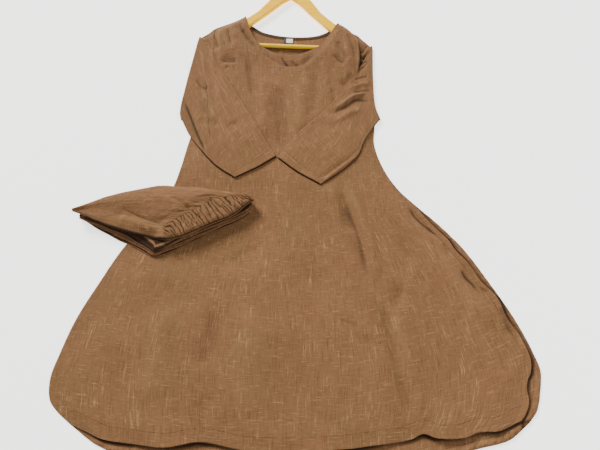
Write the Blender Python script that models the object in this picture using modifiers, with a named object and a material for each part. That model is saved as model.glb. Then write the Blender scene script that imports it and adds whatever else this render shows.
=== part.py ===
"""Kurta and palazzo set laid flat: a Blender 4.5 model in metres, +Z up.

The kurta lies face up with a hanger inside it and its sleeves folded in over the front.
The palazzo trousers lie folded in a packet on the left of the skirt. The origin is on the
surface under the kurta's centre line, and +Y runs towards the neck.
"""

import math
from collections import namedtuple

import bmesh
import bpy
from mathutils import Matrix, Vector
from mathutils.bvhtree import BVHTree

COLLECTION = "kurta_palazzo_set"

# Driving sizes
SHOULDER_Y = 0.575        # high shoulder point, measured from the origin along +Y
CLOTH = 0.0012            # wall of the front and the sleeves
BACK_CLOTH = 0.0015       # wall of the back
SEAM_GAP = 0.0003         # space between pieces that touch
FRONT_REST = BACK_CLOTH + SEAM_GAP
FACING_CLOTH = 0.0008
FACING_WIDTH = 0.011
FACING_INSET = 0.0008
FACING_SPAN = (0.13, 0.88)        # the stretch of the back neckline that it lines
FACING_STATIONS = 16
AIR_LOFT = 0.0025         # how high the front stands off the back in the open
SLEEVE_HALF = 0.0021      # half the thickness of a flattened sleeve
SLEEVE_BORE_HALF = SLEEVE_HALF - CLOTH
SLEEVE_STACK_GAP = 0.0004
LABEL_SIZE = (0.0185, 0.0155, 0.0006)
TAB_SIZE = (0.0065, 0.0150, 0.0006)
LABEL_LEFT = -0.0385
LABEL_BELOW = 0.0785

# Hanger, in its own plane: X along the trouser bar, Y towards the hook
HANGER_CENTRE = (-0.036, 0.112)   # x and distance below the high shoulder point
HANGER_TURN = math.radians(-3.0)
HANGER_THICK = 0.011
HANGER_FLOOR = FRONT_REST + FACING_CLOTH + SEAM_GAP
HANGER_TOP = HANGER_FLOOR + HANGER_THICK
BAR_HALF_LENGTH = 0.1597
ARM_EDGE_ROUND = 0.003
HOOK_WIRE = 0.00175
HOOK_RADIUS = 0.026
HOOK_STEM = 0.030
HOOK_STEPS = 16
HOOK_START, HOOK_SWEEP = -90.0, 215.0   # degrees round the hook
BAR_MARGIN = 0.004
TENT_BELOW_BAR = 0.090
SHOULDER_FALL = (0.0040, 0.0100)  # cloth leaves the hanger's height between these distances
TIP_FALL = (0.002, 0.010)         # the same past an arm's tip: start and length
ARM_SLOPE = 0.74                  # turns a height over the arm into a distance from its edge

# Palazzo packet
STACK_LAYERS = 5
LAYER_THICK = 0.0028
BAND_HALF = 0.0025
BAND_LOW_MID = 0.0208
BAND_TOP_MID = 0.0280
BAND_WIDTHS = (0.0, 0.30, 0.70, 1.0)
BAND_CROWN = (0.45, 1.0, 1.0, 0.6)   # how much of a gather each of these shows
BAND_PLAIN_HALF = 0.9 * BAND_HALF
BAND_REACH = 0.0018
BAND_LOW_STATIONS = 17
GATHERS = 27
GATHER_HEIGHT = 0.0018
LEG_CLOTH = 0.0050


def table(columns, *rows):
    """Rows of numbers under named columns."""
    row_type = namedtuple("Row", columns)
    return [row_type(*row) for row in rows]


# Side edges from the shoulder tip down to the hem corner
LEFT_EDGE = table(
    "below out",
    (0.041, 0.244), (0.125, 0.241), (0.215, 0.236), (0.305, 0.246), (0.365, 0.267),
    (0.432, 0.281), (0.505, 0.293), (0.560, 0.307), (0.600, 0.331), (0.665, 0.370),
    (0.715, 0.402), (0.785, 0.436), (0.870, 0.473), (0.940, 0.492), (0.990, 0.501),
    (1.030, 0.4925), (1.048, 0.4767), (1.066, 0.4534), (1.083, 0.4284),
)
RIGHT_EDGE = table(
    "below out",
    (0.065, 0.164), (0.145, 0.163), (0.225, 0.158), (0.310, 0.168), (0.360, 0.190),
    (0.432, 0.186), (0.505, 0.205), (0.560, 0.235), (0.600, 0.270), (0.665, 0.331),
    (0.715, 0.370), (0.785, 0.410), (0.870, 0.453), (0.940, 0.478), (0.975, 0.485),
    (1.011, 0.477), (1.048, 0.463), (1.066, 0.4476), (1.083, 0.4264),
)
# The front follows the back down the right side as far as the open slit
SLIT_TOP = 0.594
FRONT_SLIT_EDGE = table(
    "below out",
    (0.594, 0.264), (0.665, 0.320), (0.715, 0.357), (0.785, 0.400), (0.830, 0.430),
    (0.870, 0.441), (0.940, 0.471), (0.955, 0.472), (0.980, 0.465), (0.994, 0.454),
    (1.013, 0.449), (1.030, 0.449), (1.0565, 0.436), (1.067, 0.426),
)
BACK_HEM = table(
    "x below",
    (-0.4284, 1.083), (-0.384, 1.110), (-0.320, 1.131), (-0.200, 1.143), (0.000, 1.147),
    (0.200, 1.143), (0.260, 1.133), (0.337, 1.116), (0.400, 1.1007), (0.4264, 1.083),
)
FRONT_HEM = table(
    "x below",
    (-0.440, 1.074), (-0.410, 1.086), (-0.375, 1.099), (-0.320, 1.107), (-0.250, 1.113),
    (-0.192, 1.104), (-0.100, 1.119), (0.100, 1.115), (0.130, 1.111), (0.210, 1.100),
    (0.235, 1.090), (0.256, 1.097), (0.310, 1.097), (0.341, 1.0875), (0.380, 1.085),
    (0.426, 1.067),
)
LEFT_SHOULDER = table("x below", (-0.244, 0.041), (-0.157, 0.000))
RIGHT_SHOULDER = table(
    "x below", (0.110, 0.026), (0.122, 0.033), (0.136, 0.045), (0.155, 0.061), (0.164, 0.065)
)
BACK_NECK = table(
    "x below",
    (-0.157, 0.000), (-0.138, 0.025), (-0.106, 0.051), (-0.0745, 0.062), (-0.029, 0.070),
    (0.022, 0.070), (0.053, 0.064), (0.074, 0.0534), (0.092, 0.040), (0.110, 0.026),
)
FRONT_NECK = table(
    "x below",
    (-0.157, 0.000), (-0.137, 0.068), (-0.112, 0.110), (-0.070, 0.139), (-0.028, 0.148),
    (0.015, 0.140), (0.055, 0.115), (0.083, 0.075), (0.110, 0.026),
)

# Broad folds of the front: a soft ridge, or a trough where the height is negative
FRONT_FOLDS = table(
    "x0 below0 x1 below1 width height",
    (-0.050, 0.240, -0.058, 0.460, 0.022, -0.0022),
    (-0.100, 0.240, -0.110, 0.440, 0.030, 0.0016),
    (0.010, 0.260, 0.000, 0.460, 0.030, 0.0016),
    (0.080, 0.570, 0.165, 0.720, 0.026, 0.0045),
    (0.060, 0.860, 0.140, 0.895, 0.020, 0.0030),
    (0.165, 0.880, 0.230, 1.085, 0.030, 0.0055),
    (0.290, 0.650, 0.420, 0.850, 0.024, 0.0050),
    (-0.180, 0.820, -0.260, 1.060, 0.040, 0.0035),
    (-0.020, 0.700, -0.030, 1.020, 0.050, 0.0030),
    (0.340, 0.930, 0.380, 1.060, 0.026, 0.0040),
)
# Lengths of hem that stand off the surface
HEM_LIFTS = table(
    "x half_width height",
    (-0.360, 0.050, 0.004), (-0.235, 0.045, 0.008), (-0.060, 0.050, 0.003),
    (0.060, 0.050, 0.005), (0.160, 0.040, 0.004), (0.285, 0.045, 0.009), (0.370, 0.030, 0.005),
)

LEFT_FOLD = table(
    "x below",
    (-0.281, 0.075), (-0.290, 0.155), (-0.3014, 0.258), (-0.3064, 0.337), (-0.303, 0.357),
)
LEFT_CROWN = table("x below", (-0.281, 0.075), (-0.172, 0.268), (-0.0595, 0.472))
LEFT_UNDERARM = table(
    "x below",
    (-0.303, 0.357), (-0.2824, 0.398), (-0.259, 0.432), (-0.2415, 0.4545), (-0.2036, 0.495),
    (-0.155, 0.530),
)
LEFT_SLEEVE_HEM = table("x below", (-0.0595, 0.472), (-0.106, 0.503), (-0.155, 0.530))
RIGHT_FOLD = table(
    "x below",
    (0.199, 0.109), (0.196, 0.155), (0.1925, 0.224), (0.1935, 0.325), (0.203, 0.357),
)
RIGHT_CROWN = table(
    "x below",
    (0.199, 0.109), (0.154, 0.205), (0.0785, 0.317), (-0.009, 0.413), (-0.0535, 0.476),
)
RIGHT_UNDERARM = table(
    "x below", (0.203, 0.357), (0.188, 0.378), (0.159, 0.427), (0.141, 0.469), (0.048, 0.552)
)
RIGHT_SLEEVE_HEM = table("x below", (-0.0535, 0.476), (-0.012, 0.512), (0.048, 0.552))
LEFT_ARMHOLE_END = 0.342
RIGHT_ARMHOLE_END = 0.325
ARMHOLE_ROOM = 0.0018      # the edges are faceted, so the sleeves start a little further out

# Right half of the hanger's arms, from the hook's base round the tip to the inner apex
HANGER_OUTLINE = table(
    "along up",
    (0.000, 0.225), (0.012, 0.223), (0.035, 0.205), (0.060, 0.1765), (0.091, 0.128),
    (0.110, 0.108), (0.137, 0.082), (0.160, 0.067), (0.176, 0.052), (0.185, 0.030),
    (0.186, 0.008), (0.180, -0.008), (0.170, -0.012), (0.1605, -0.010), (0.160, 0.011),
    (0.152, 0.022), (0.142, 0.034), (0.115, 0.0644), (0.060, 0.124), (0.024, 0.166),
    (0.000, 0.186),
)
ARM_TOP_EDGE = table(
    "along up",
    (0.000, 0.225), (0.012, 0.223), (0.035, 0.205), (0.060, 0.1765), (0.091, 0.128),
    (0.110, 0.108), (0.137, 0.082), (0.160, 0.067), (0.176, 0.052), (0.186, 0.030),
)

# Outline of the packet's lower layers; lean is how far the upper layers draw back
STACK_OUTLINE = table(
    "x below lean",
    (-0.512, 0.637, 0.2), (-0.4526, 0.671, 1.4), (-0.393, 0.700, 1.8), (-0.343, 0.727, 1.4),
    (-0.334, 0.7325, 1.2), (-0.322, 0.7345, 1.0), (-0.291, 0.722, 0.9), (-0.260, 0.706, 0.9),
    (-0.224, 0.687, 0.9), (-0.192, 0.672, 0.9), (-0.168, 0.659, 0.9), (-0.138, 0.643, 0.8),
    (-0.112, 0.620, 0.5),
    (-0.108, 0.600, 0.2), (-0.150, 0.587, 0.2), (-0.235, 0.573, 0.2), (-0.317, 0.567, 0.2),
    (-0.377, 0.579, 0.2), (-0.450, 0.601, 0.2), (-0.500, 0.623, 0.1),
)
LEAN_BACK = 0.010
STACK_STATIONS = 46
STACK_SHARES = (0.30, 0.60, 0.85)          # rings of the underside and the top
LAYER_PROFILE = ((0.06, 0.0012), (0.50, 0.0), (0.94, 0.0012))   # share of a layer, pull inwards
REST_REACHES = (0.015, 0.032, 0.050)
LEG_FAR_EDGE = table(
    "x below",
    (-0.520, 0.626), (-0.466, 0.600), (-0.423, 0.582), (-0.377, 0.5715), (-0.339, 0.561),
    (-0.317, 0.5585), (-0.280, 0.563), (-0.235, 0.565), (-0.200, 0.572), (-0.150, 0.581),
    (-0.122, 0.588),
)
LEG_NEAR_EDGE = table(
    "x below",
    (-0.518, 0.630), (-0.485, 0.642), (-0.4425, 0.660), (-0.377, 0.682), (-0.335, 0.692),
    (-0.305, 0.696),
)
BAND_NEAR_EDGE = table(
    "x below",
    (-0.299, 0.699), (-0.267, 0.692), (-0.227, 0.674), (-0.189, 0.6554), (-0.162, 0.644),
    (-0.1415, 0.6304), (-0.1265, 0.614), (-0.1096, 0.602),
)
BAND_FAR_EDGE = table(
    "x below",
    (-0.3015, 0.667), (-0.266, 0.643), (-0.227, 0.619), (-0.187, 0.600), (-0.155, 0.594),
    (-0.120, 0.590),
)
# Round of the packet that presses the kurta flat
PRESS_ENDS = ((-0.500, 0.635), (-0.125, 0.612))
PRESS_RADIUS = (0.100, 0.150)

# Colour as linear red, green, blue; then roughness and metallic value
COTTON = ((0.30, 0.16, 0.08), 0.90, 0.0)
COTTON_INSIDE = ((0.14, 0.085, 0.04), 0.90, 0.0)
LACQUERED_WOOD = ((0.90, 0.50, 0.05), 0.35, 0.0)
STEEL = ((0.60, 0.60, 0.60), 0.30, 1.0)
LABEL_WHITE = ((0.85, 0.85, 0.83), 0.70, 0.0)
LABEL_BLACK = ((0.02, 0.02, 0.02), 0.70, 0.0)


def place(x, below):
    """Plan position from the width and the distance below the high shoulder point."""
    return Vector((x, SHOULDER_Y - below, 0.0))


def smoothstep(start, end, value):
    """0 before start, 1 after end, with a soft step between."""
    t = min(max((value - start) / (end - start), 0.0), 1.0)
    return t * t * (3.0 - 2.0 * t)


def smooth_path(points, steps=10):
    """Dense points of a smooth curve through the given points."""
    chords = [max((b - a).length, 1e-9) for a, b in zip(points, points[1:])]
    tangents = []
    for i in range(len(points)):
        slopes = []
        if i > 0:
            slopes.append((points[i] - points[i - 1]) / chords[i - 1])
        if i < len(points) - 1:
            slopes.append((points[i + 1] - points[i]) / chords[i])
        tangents.append(sum(slopes, Vector((0.0, 0.0, 0.0))) / len(slopes))
    dense = [points[0].copy()]
    for i, chord in enumerate(chords):
        for step in range(1, steps + 1):
            t = step / steps
            start_weight = 2 * t**3 - 3 * t**2 + 1
            dense.append(
                points[i] * start_weight + points[i + 1] * (1 - start_weight)
                + tangents[i] * chord * (t**3 - 2 * t**2 + t)
                + tangents[i + 1] * chord * (t**3 - t**2)
            )
    return dense


def path_reader(points, smooth=True):
    """A function that gives the point at a fraction of the path's length."""
    dense = smooth_path(points) if smooth else points
    lengths = [0.0]
    for a, b in zip(dense, dense[1:]):
        lengths.append(lengths[-1] + (b - a).length)

    def at(fraction):
        target = min(max(fraction, 0.0), 1.0) * lengths[-1]
        for i in range(1, len(dense)):
            if lengths[i] >= target or i == len(dense) - 1:
                span = max(lengths[i] - lengths[i - 1], 1e-9)
                return dense[i - 1].lerp(dense[i], min((target - lengths[i - 1]) / span, 1.0))

    return at


def edge_reader(rows):
    """Path through rows of x and below."""
    return path_reader([place(row.x, row.below) for row in rows])


def side_points(rows, side, end=math.inf, inset=0.0):
    """Points of a side edge down to a height; side is -1 on the left and 1 on the right."""
    return [place(side * (row.out - inset), row.below) for row in rows if row.below <= end]


def joined_reader(pieces):
    """Path made of pieces, each starting at its own fraction."""
    def at(fraction):
        for i in reversed(range(len(pieces))):
            start, reader = pieces[i]
            end = pieces[i + 1][0] if i + 1 < len(pieces) else 1.0
            if fraction >= start or i == 0:
                return reader((fraction - start) / (end - start))

    return at


def coons_grid(top, bottom, left, right, across, down):
    """Rows of points that fill four edges."""
    grid = []
    for v in down:
        row = []
        for u in across:
            ruled_down = top(u).lerp(bottom(u), v)
            ruled_across = left(v).lerp(right(v), u)
            corners = top(0).lerp(top(1), u).lerp(bottom(0).lerp(bottom(1), u), v)
            row.append(ruled_down + ruled_across - corners)
        grid.append(row)
    return grid


def with_height(grid, height):
    """The grid's points at the height that the function gives for each."""
    return [
        [Vector((p.x, p.y, height(p.x, SHOULDER_Y - p.y, i, j))) for j, p in enumerate(row)]
        for i, row in enumerate(grid)
    ]


def material(name, look):
    """A plain Principled material."""
    colour, roughness, metallic = look
    made = bpy.data.materials.new(name)
    made.use_nodes = True
    shader = made.node_tree.nodes["Principled BSDF"]
    shader.inputs["Base Color"].default_value = (*colour, 1.0)
    shader.inputs["Roughness"].default_value = roughness
    shader.inputs["Metallic"].default_value = metallic
    made.diffuse_color = (*colour, 1.0)
    return made


def add_object(name, data, look):
    """An object in the set's collection, with its own material."""
    data.materials.append(material(name, look))
    obj = bpy.data.objects.new(name, data)
    bpy.data.collections[COLLECTION].objects.link(obj)
    return obj


def add_bmesh(name, bm, look):
    """An object from a bmesh whose faces are turned outwards first."""
    bmesh.ops.recalc_face_normals(bm, faces=bm.faces)
    mesh = bpy.data.meshes.new(name)
    bm.to_mesh(mesh)
    bm.free()
    mesh.shade_smooth()
    return add_object(name, mesh, look)


def strip_faces(bm, first, second, closed):
    """Quads between two rows of vertices."""
    count = len(first)
    for i in range(count if closed else count - 1):
        k = (i + 1) % count
        bm.faces.new((first[i], first[k], second[k], second[i]))


def border(grid):
    """The outer loop of a grid of vertices, in order."""
    loop = list(grid[0])
    loop += [row[-1] for row in grid[1:]]
    loop += list(reversed(grid[-1][:-1]))
    loop += [row[0] for row in reversed(grid[1:-1])]
    return loop


def sheet_between(name, lower, upper, look):
    """A closed piece of cloth between a lower and an upper grid of points."""
    bm = bmesh.new()
    below = [[bm.verts.new(p) for p in row] for row in lower]
    above = [[bm.verts.new(p) for p in row] for row in upper]
    for grid in (below, above):
        for first, second in zip(grid, grid[1:]):
            strip_faces(bm, first, second, closed=False)
    strip_faces(bm, border(below), border(above), closed=True)
    return add_bmesh(name, bm, look)


def open_panel(name, grid, thickness, look):
    """A panel from one grid of points, thickened upwards by Solidify."""
    bm = bmesh.new()
    verts = [[bm.verts.new(p) for p in row] for row in grid]
    for first, second in zip(verts, verts[1:]):
        strip_faces(bm, first, second, closed=False)
    bmesh.ops.recalc_face_normals(bm, faces=bm.faces)
    if sum(face.normal.z for face in bm.faces) < 0:
        bmesh.ops.reverse_faces(bm, faces=bm.faces)
    mesh = bpy.data.meshes.new(name)
    bm.to_mesh(mesh)
    bm.free()
    mesh.shade_smooth()
    obj = add_object(name, mesh, look)
    solidify = obj.modifiers.new("Cloth", "SOLIDIFY")
    solidify.thickness = thickness
    solidify.offset = 1.0
    return obj


def flat_ring(middles, outward, outer, inner, reach):
    """Closed ring round a row of middle points: outer side, end, inner side, end."""
    first = (middles[0] - middles[1]).normalized()
    last = (middles[-1] - middles[-2]).normalized()
    ring = [middles[0] + first * reach]
    ring += [m + n * h for m, n, h in zip(middles, outward, outer)]
    ring.append(middles[-1] + last * reach)
    ring += [m - n * h for m, n, h in reversed(list(zip(middles, outward, inner)))]
    return ring


def loft(bm, rings):
    """Quads between closed rings; returns the rings' vertices."""
    verts = [[bm.verts.new(p) for p in ring] for ring in rings]
    for first, second in zip(verts, verts[1:]):
        strip_faces(bm, first, second, closed=True)
    return verts


def surface_tree(*objects):
    """Search tree of what the objects look like once their modifiers are applied."""
    graph = bpy.context.evaluated_depsgraph_get()
    points = []
    faces = []
    for obj in objects:
        evaluated = obj.evaluated_get(graph)
        mesh = evaluated.to_mesh()
        start = len(points)
        points += [obj.matrix_world @ vertex.co for vertex in mesh.vertices]
        faces += [[start + i for i in polygon.vertices] for polygon in mesh.polygons]
        evaluated.to_mesh_clear()
    return BVHTree.FromPolygons(points, faces)


def top_of(tree, x, y):
    """Height of the highest surface at a place, or of the floor."""
    hit = tree.ray_cast(Vector((x, y, 1.0)), Vector((0.0, 0.0, -1.0)))[0]
    return hit.z if hit else 0.0


def cell_height(corners, s, t):
    """Lowest height of a cell at a place in it, whichever way the cell is split."""
    a, b, c, d = (corner.z for corner in corners)
    if t < s:
        first = a + s * (b - a) + t * (d - b)
    else:
        first = a + t * (c - a) + s * (d - c)
    if s + t < 1.0:
        second = a + s * (b - a) + t * (c - a)
    else:
        second = d + (1.0 - s) * (c - d) + (1.0 - t) * (b - d)
    return min(first, second)


def rest_on(grid, tree, gap, samples=6):
    """Raise a grid's cells until each clears the surfaces below it."""
    steps = [i / (samples - 1) for i in range(samples)]
    for upper_row, lower_row in zip(grid, grid[1:]):
        for j in range(len(upper_row) - 1):
            corners = (upper_row[j], upper_row[j + 1], lower_row[j], lower_row[j + 1])
            spots = []
            for s in steps:
                for t in steps:
                    near = corners[0].lerp(corners[1], s)
                    p = near.lerp(corners[2].lerp(corners[3], s), t)
                    surface = top_of(tree, p.x, p.y)
                    if surface > 0.0:
                        spots.append((s, t, surface + gap))
            ceiling = max((spot[2] for spot in spots), default=0.0)
            for _ in range(8):
                need = max((top - cell_height(corners, s, t) for s, t, top in spots), default=0.0)
                if need <= 0.0:
                    break
                for corner in corners:
                    corner.z = max(corner.z, min(corner.z + need, ceiling))


# Hanger

def hanger_matrix(height=0.0):
    """Places the hanger's own plane in the set."""
    centre = place(*HANGER_CENTRE)
    centre.z = height
    return Matrix.Translation(centre) @ Matrix.Rotation(HANGER_TURN, 4, "Z")


def build_hanger():
    """Arms, trouser bar and hook."""
    middle = HANGER_FLOOR + HANGER_THICK / 2
    half = [(row.along, row.up) for row in HANGER_OUTLINE]
    outline = half + [(-along, up) for along, up in reversed(half[1:-1])]
    arms = bpy.data.curves.new("hanger_arms", "CURVE")
    arms.dimensions = "2D"
    arms.fill_mode = "BOTH"
    arms.extrude = HANGER_THICK / 2 - ARM_EDGE_ROUND
    arms.bevel_depth = ARM_EDGE_ROUND
    arms.offset = -ARM_EDGE_ROUND
    arms.bevel_resolution = 1
    spline = arms.splines.new("POLY")
    spline.points.add(len(outline) - 1)
    for point, (along, up) in zip(spline.points, outline):
        point.co = (along, up, 0.0, 1.0)
    spline.use_cyclic_u = True
    arms_object = add_object("hanger_arms", arms, LACQUERED_WOOD)
    arms_object.matrix_world = hanger_matrix(middle)

    bm = bmesh.new()
    along_bar = Matrix.Rotation(math.radians(90), 4, "Y")
    bmesh.ops.create_cone(
        bm, cap_ends=True, segments=16, radius1=HANGER_THICK / 2, radius2=HANGER_THICK / 2,
        depth=2 * BAR_HALF_LENGTH, matrix=hanger_matrix(middle) @ along_bar,
    )
    bar_object = add_bmesh("hanger_bar", bm, LACQUERED_WOOD)

    hook = bpy.data.curves.new("hanger_hook", "CURVE")
    hook.dimensions = "3D"
    hook.bevel_depth = HOOK_WIRE
    hook.bevel_resolution = 2
    hook.use_fill_caps = True
    base = max(row.up for row in HANGER_OUTLINE) + SEAM_GAP
    centre_up = base + HOOK_STEM + HOOK_RADIUS
    route = [(0.0, base, 0.0), (0.0, base + 0.4 * HOOK_STEM, 0.0), (0.0, base + HOOK_STEM, 0.0)]
    for i in range(1, HOOK_STEPS + 1):
        angle = math.radians(HOOK_START + HOOK_SWEEP * i / HOOK_STEPS)
        route.append((HOOK_RADIUS * math.cos(angle), centre_up + HOOK_RADIUS * math.sin(angle), 0.0))
    wire = hook.splines.new("POLY")
    wire.points.add(len(route) - 1)
    for point, place_on_route in zip(wire.points, route):
        point.co = (*place_on_route, 1.0)
    hook_object = add_object("hanger_hook", hook, STEEL)
    hook_object.matrix_world = hanger_matrix(middle)
    return arms_object, bar_object, hook_object


def arm_edge_height(along):
    """Height of the arms' upper edge in the hanger's plane."""
    along = abs(along)
    for a, b in zip(ARM_TOP_EDGE, ARM_TOP_EDGE[1:]):
        if along <= b.along:
            return a.up + (b.up - a.up) * (along - a.along) / (b.along - a.along)
    return ARM_TOP_EDGE[-1].up


def hanger_share(x, below):
    """1 where the front lies on the hanger, falling to 0 away from it."""
    local = hanger_matrix().inverted() @ place(x, below)
    past_edge = (local.y - arm_edge_height(local.x)) * ARM_SLOPE
    past_tip = abs(local.x) - ARM_TOP_EDGE[-1].along
    under_bar = -(HANGER_THICK / 2 + BAR_MARGIN) - local.y
    share = 1.0 - smoothstep(*SHOULDER_FALL, past_edge)
    share *= 1.0 - smoothstep(0.0, TENT_BELOW_BAR, under_bar)
    fall_start, fall_length = TIP_FALL
    fall_length += 0.45 * max(0.0, under_bar)
    return share * (1.0 - smoothstep(fall_start, fall_start + fall_length, past_tip))


# Kurta

def front_side(side):
    """Reader of the front's left or right edge, just inside the back's."""
    if side < 0:
        points = side_points(LEFT_EDGE, side, end=FRONT_HEM[0].below - 0.004, inset=FRONT_INSET)
        points.append(place(FRONT_HEM[0].x, FRONT_HEM[0].below))
        return path_reader(points)
    points = side_points(RIGHT_EDGE, side, end=SLIT_TOP - 0.01, inset=FRONT_INSET)
    points += [place(row.out, row.below) for row in FRONT_SLIT_EDGE]
    return path_reader(points)


# The share of the panels' top edge that each shoulder takes, and the grids' columns and rows
SHOULDER_SHARE = 0.16
SHOULDER_COLUMNS = (0.0, 0.05, 0.125, 0.28, 0.50, 0.75)
NECK_COLUMNS = (
    0.0, 0.010, 0.022, 0.040, 0.075, 0.12, 0.17, 0.22, 0.27, 0.32, 0.37, 0.42, 0.47,
)
BACK_SHOULDER_COLUMNS = (0.0, 0.20, 0.60)
BACK_NECK_COLUMNS = (0.0, 0.05, 0.11, 0.17, 0.23, 0.30, 0.37, 0.44, 0.50)
ROWS_AT_NECK = (0.0, 0.0035, 0.0070, 0.0110, 0.020, 0.040, 0.065, 0.090, 0.120, 0.155, 0.190)
FRONT_ONLY_ROWS = (0.0035, 0.0070, 0.0110, 0.040, 0.090, 0.155)
FRONT_ROW_STEPS = (0.042, 0.030, 0.86)   # step, closer step, and where the closer ones start
BACK_ROW_STEPS = (0.036, 0.0145, 0.66)
FRONT_INSET = 0.0015                     # the front's sides lie this far inside the back's
# The back's border, where it shows past the front: its share of the panel, and its puckers
BORDER_SHARE = 0.0045
BORDER_ROOM = (0.011, 0.015)
PUCKER_MEAN, PUCKER_SWING = 0.0022, 0.0020
PUCKER_WAVES = (150.0, 110.0)


def column_fractions(shoulder_columns, neck_columns):
    """Column places: left shoulder, neck and right shoulder, each half mirrored."""
    neck = sorted(set(neck_columns) | {round(1.0 - f, 6) for f in neck_columns})
    left = [SHOULDER_SHARE * f for f in shoulder_columns]
    middle = [SHOULDER_SHARE + (1 - 2 * SHOULDER_SHARE) * f for f in neck]
    right = [1.0 - f for f in reversed(left)]
    return left + middle + right


def row_fractions(step, fine_step, fine_from):
    """Row places, close at the shoulders and again near the hem where asked."""
    rows = list(ROWS_AT_NECK)
    while rows[-1] < 1.0:
        rows.append(rows[-1] + (fine_step if rows[-1] >= fine_from else step))
    last = rows[-1]
    first_free = len(ROWS_AT_NECK) - 1
    start = rows[first_free]
    return rows[:first_free] + [
        start + (row - start) * (1.0 - start) / (last - start) for row in rows[first_free:]
    ]


def top_edge(neck_rows):
    """Shoulder, neckline and shoulder as one edge."""
    return joined_reader((
        (0.0, path_reader([place(row.x, row.below) for row in LEFT_SHOULDER])),
        (SHOULDER_SHARE, edge_reader(neck_rows)),
        (1.0 - SHOULDER_SHARE, edge_reader(RIGHT_SHOULDER)),
    ))


def distance_to_segment(x, below, start, end):
    """Distance to a segment in plan, and the fraction along it."""
    a, b, p = Vector(start), Vector(end), Vector((x, below))
    along = min(max((p - a).dot(b - a) / (b - a).length_squared, 0.0), 1.0)
    return (p - a.lerp(b, along)).length, along


def fold_height(x, below):
    """Height that the broad folds add at a place."""
    height = 0.0
    for fold in FRONT_FOLDS:
        away, along = distance_to_segment(
            x, below, (fold.x0, fold.below0), (fold.x1, fold.below1)
        )
        fade = 0.45 + 0.55 * math.sin(math.pi * along)
        height += fold.height * fade * math.exp(-((away / fold.width) ** 2))
    return height


def pressed_share(x, below):
    """0 under the packet, 1 away from it."""
    away, _ = distance_to_segment(x, below, *PRESS_ENDS)
    return smoothstep(*PRESS_RADIUS, away)


def read_table(pairs, key):
    """Value at a key, read between the pairs of a sorted table."""
    for (key_a, value_a), (key_b, value_b) in zip(pairs, pairs[1:]):
        if key <= key_b:
            return value_a + (value_b - value_a) * (key - key_a) / (key_b - key_a)
    return pairs[-1][1]


def build_back():
    """Back panel: flat underneath, with a puckered border at the hem that shows."""
    across = column_fractions(BACK_SHOULDER_COLUMNS, BACK_NECK_COLUMNS)
    across[-2:-1] = (1.0 - 2 * BORDER_SHARE, 1.0 - BORDER_SHARE)
    down = [row for row in row_fractions(*BACK_ROW_STEPS) if row not in FRONT_ONLY_ROWS]
    down[-2] = 1.0 - BORDER_SHARE
    left = path_reader(side_points(LEFT_EDGE, -1))
    right = path_reader(side_points(RIGHT_EDGE, 1))
    slit_edge = [(row.below, row.out) for row in FRONT_SLIT_EDGE]
    plan = coons_grid(top_edge(BACK_NECK), edge_reader(BACK_HEM), left, right, across, down)
    lower = with_height(plan, lambda x, below, i, j: 0.0)
    last_row = len(down) - 1
    last_column = len(across) - 1

    def upper_height(x, below, i, j):
        wave = PUCKER_WAVES[0] * x + PUCKER_WAVES[1] * below
        pucker = PUCKER_MEAN + PUCKER_SWING * math.sin(wave)
        if i == last_row - 1 and 0 < j < last_column:
            return BACK_CLOTH + pucker
        if j == last_column - 1 and 0 < i < last_row and below > SLIT_TOP:
            room = plan[i][last_column].x - read_table(slit_edge, below)
            return BACK_CLOTH + pucker * smoothstep(*BORDER_ROOM, room)
        return BACK_CLOTH

    upper = with_height(plan, upper_height)
    return sheet_between("kurta_back", lower, upper, COTTON)


def build_front(hanger_tree):
    """Front panel over the hanger, with its broad folds and lifted hem."""
    across = column_fractions(SHOULDER_COLUMNS, NECK_COLUMNS)
    down = row_fractions(*FRONT_ROW_STEPS)
    plan = coons_grid(
        top_edge(FRONT_NECK), edge_reader(FRONT_HEM), front_side(-1), front_side(1),
        across, down,
    )

    def height(x, below, i, j):
        u, v = across[j], down[i]
        inside = smoothstep(0.0, 0.10, u) * smoothstep(0.0, 0.10, 1.0 - u)
        inside *= smoothstep(0.02, 0.10, v) * smoothstep(0.0, 0.05, 1.0 - v)
        loose = inside * pressed_share(x, below) * (AIR_LOFT + fold_height(x, below))
        hem_share = smoothstep(0.93, 1.0, v) * smoothstep(0.0, 0.05, u) * smoothstep(0.0, 0.04, 1 - u)
        hem = sum(
            lift.height * math.exp(-(((x - lift.x) / lift.half_width) ** 2)) for lift in HEM_LIFTS
        )
        over_hanger = (HANGER_TOP + SEAM_GAP - FRONT_REST) * hanger_share(x, below)
        return FRONT_REST + max(0.0, loose, over_hanger) + hem_share * hem

    grid = with_height(plan, height)
    rest_on(grid, hanger_tree, 2 * SEAM_GAP)
    return open_panel("kurta_front", grid, CLOTH, COTTON)


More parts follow.
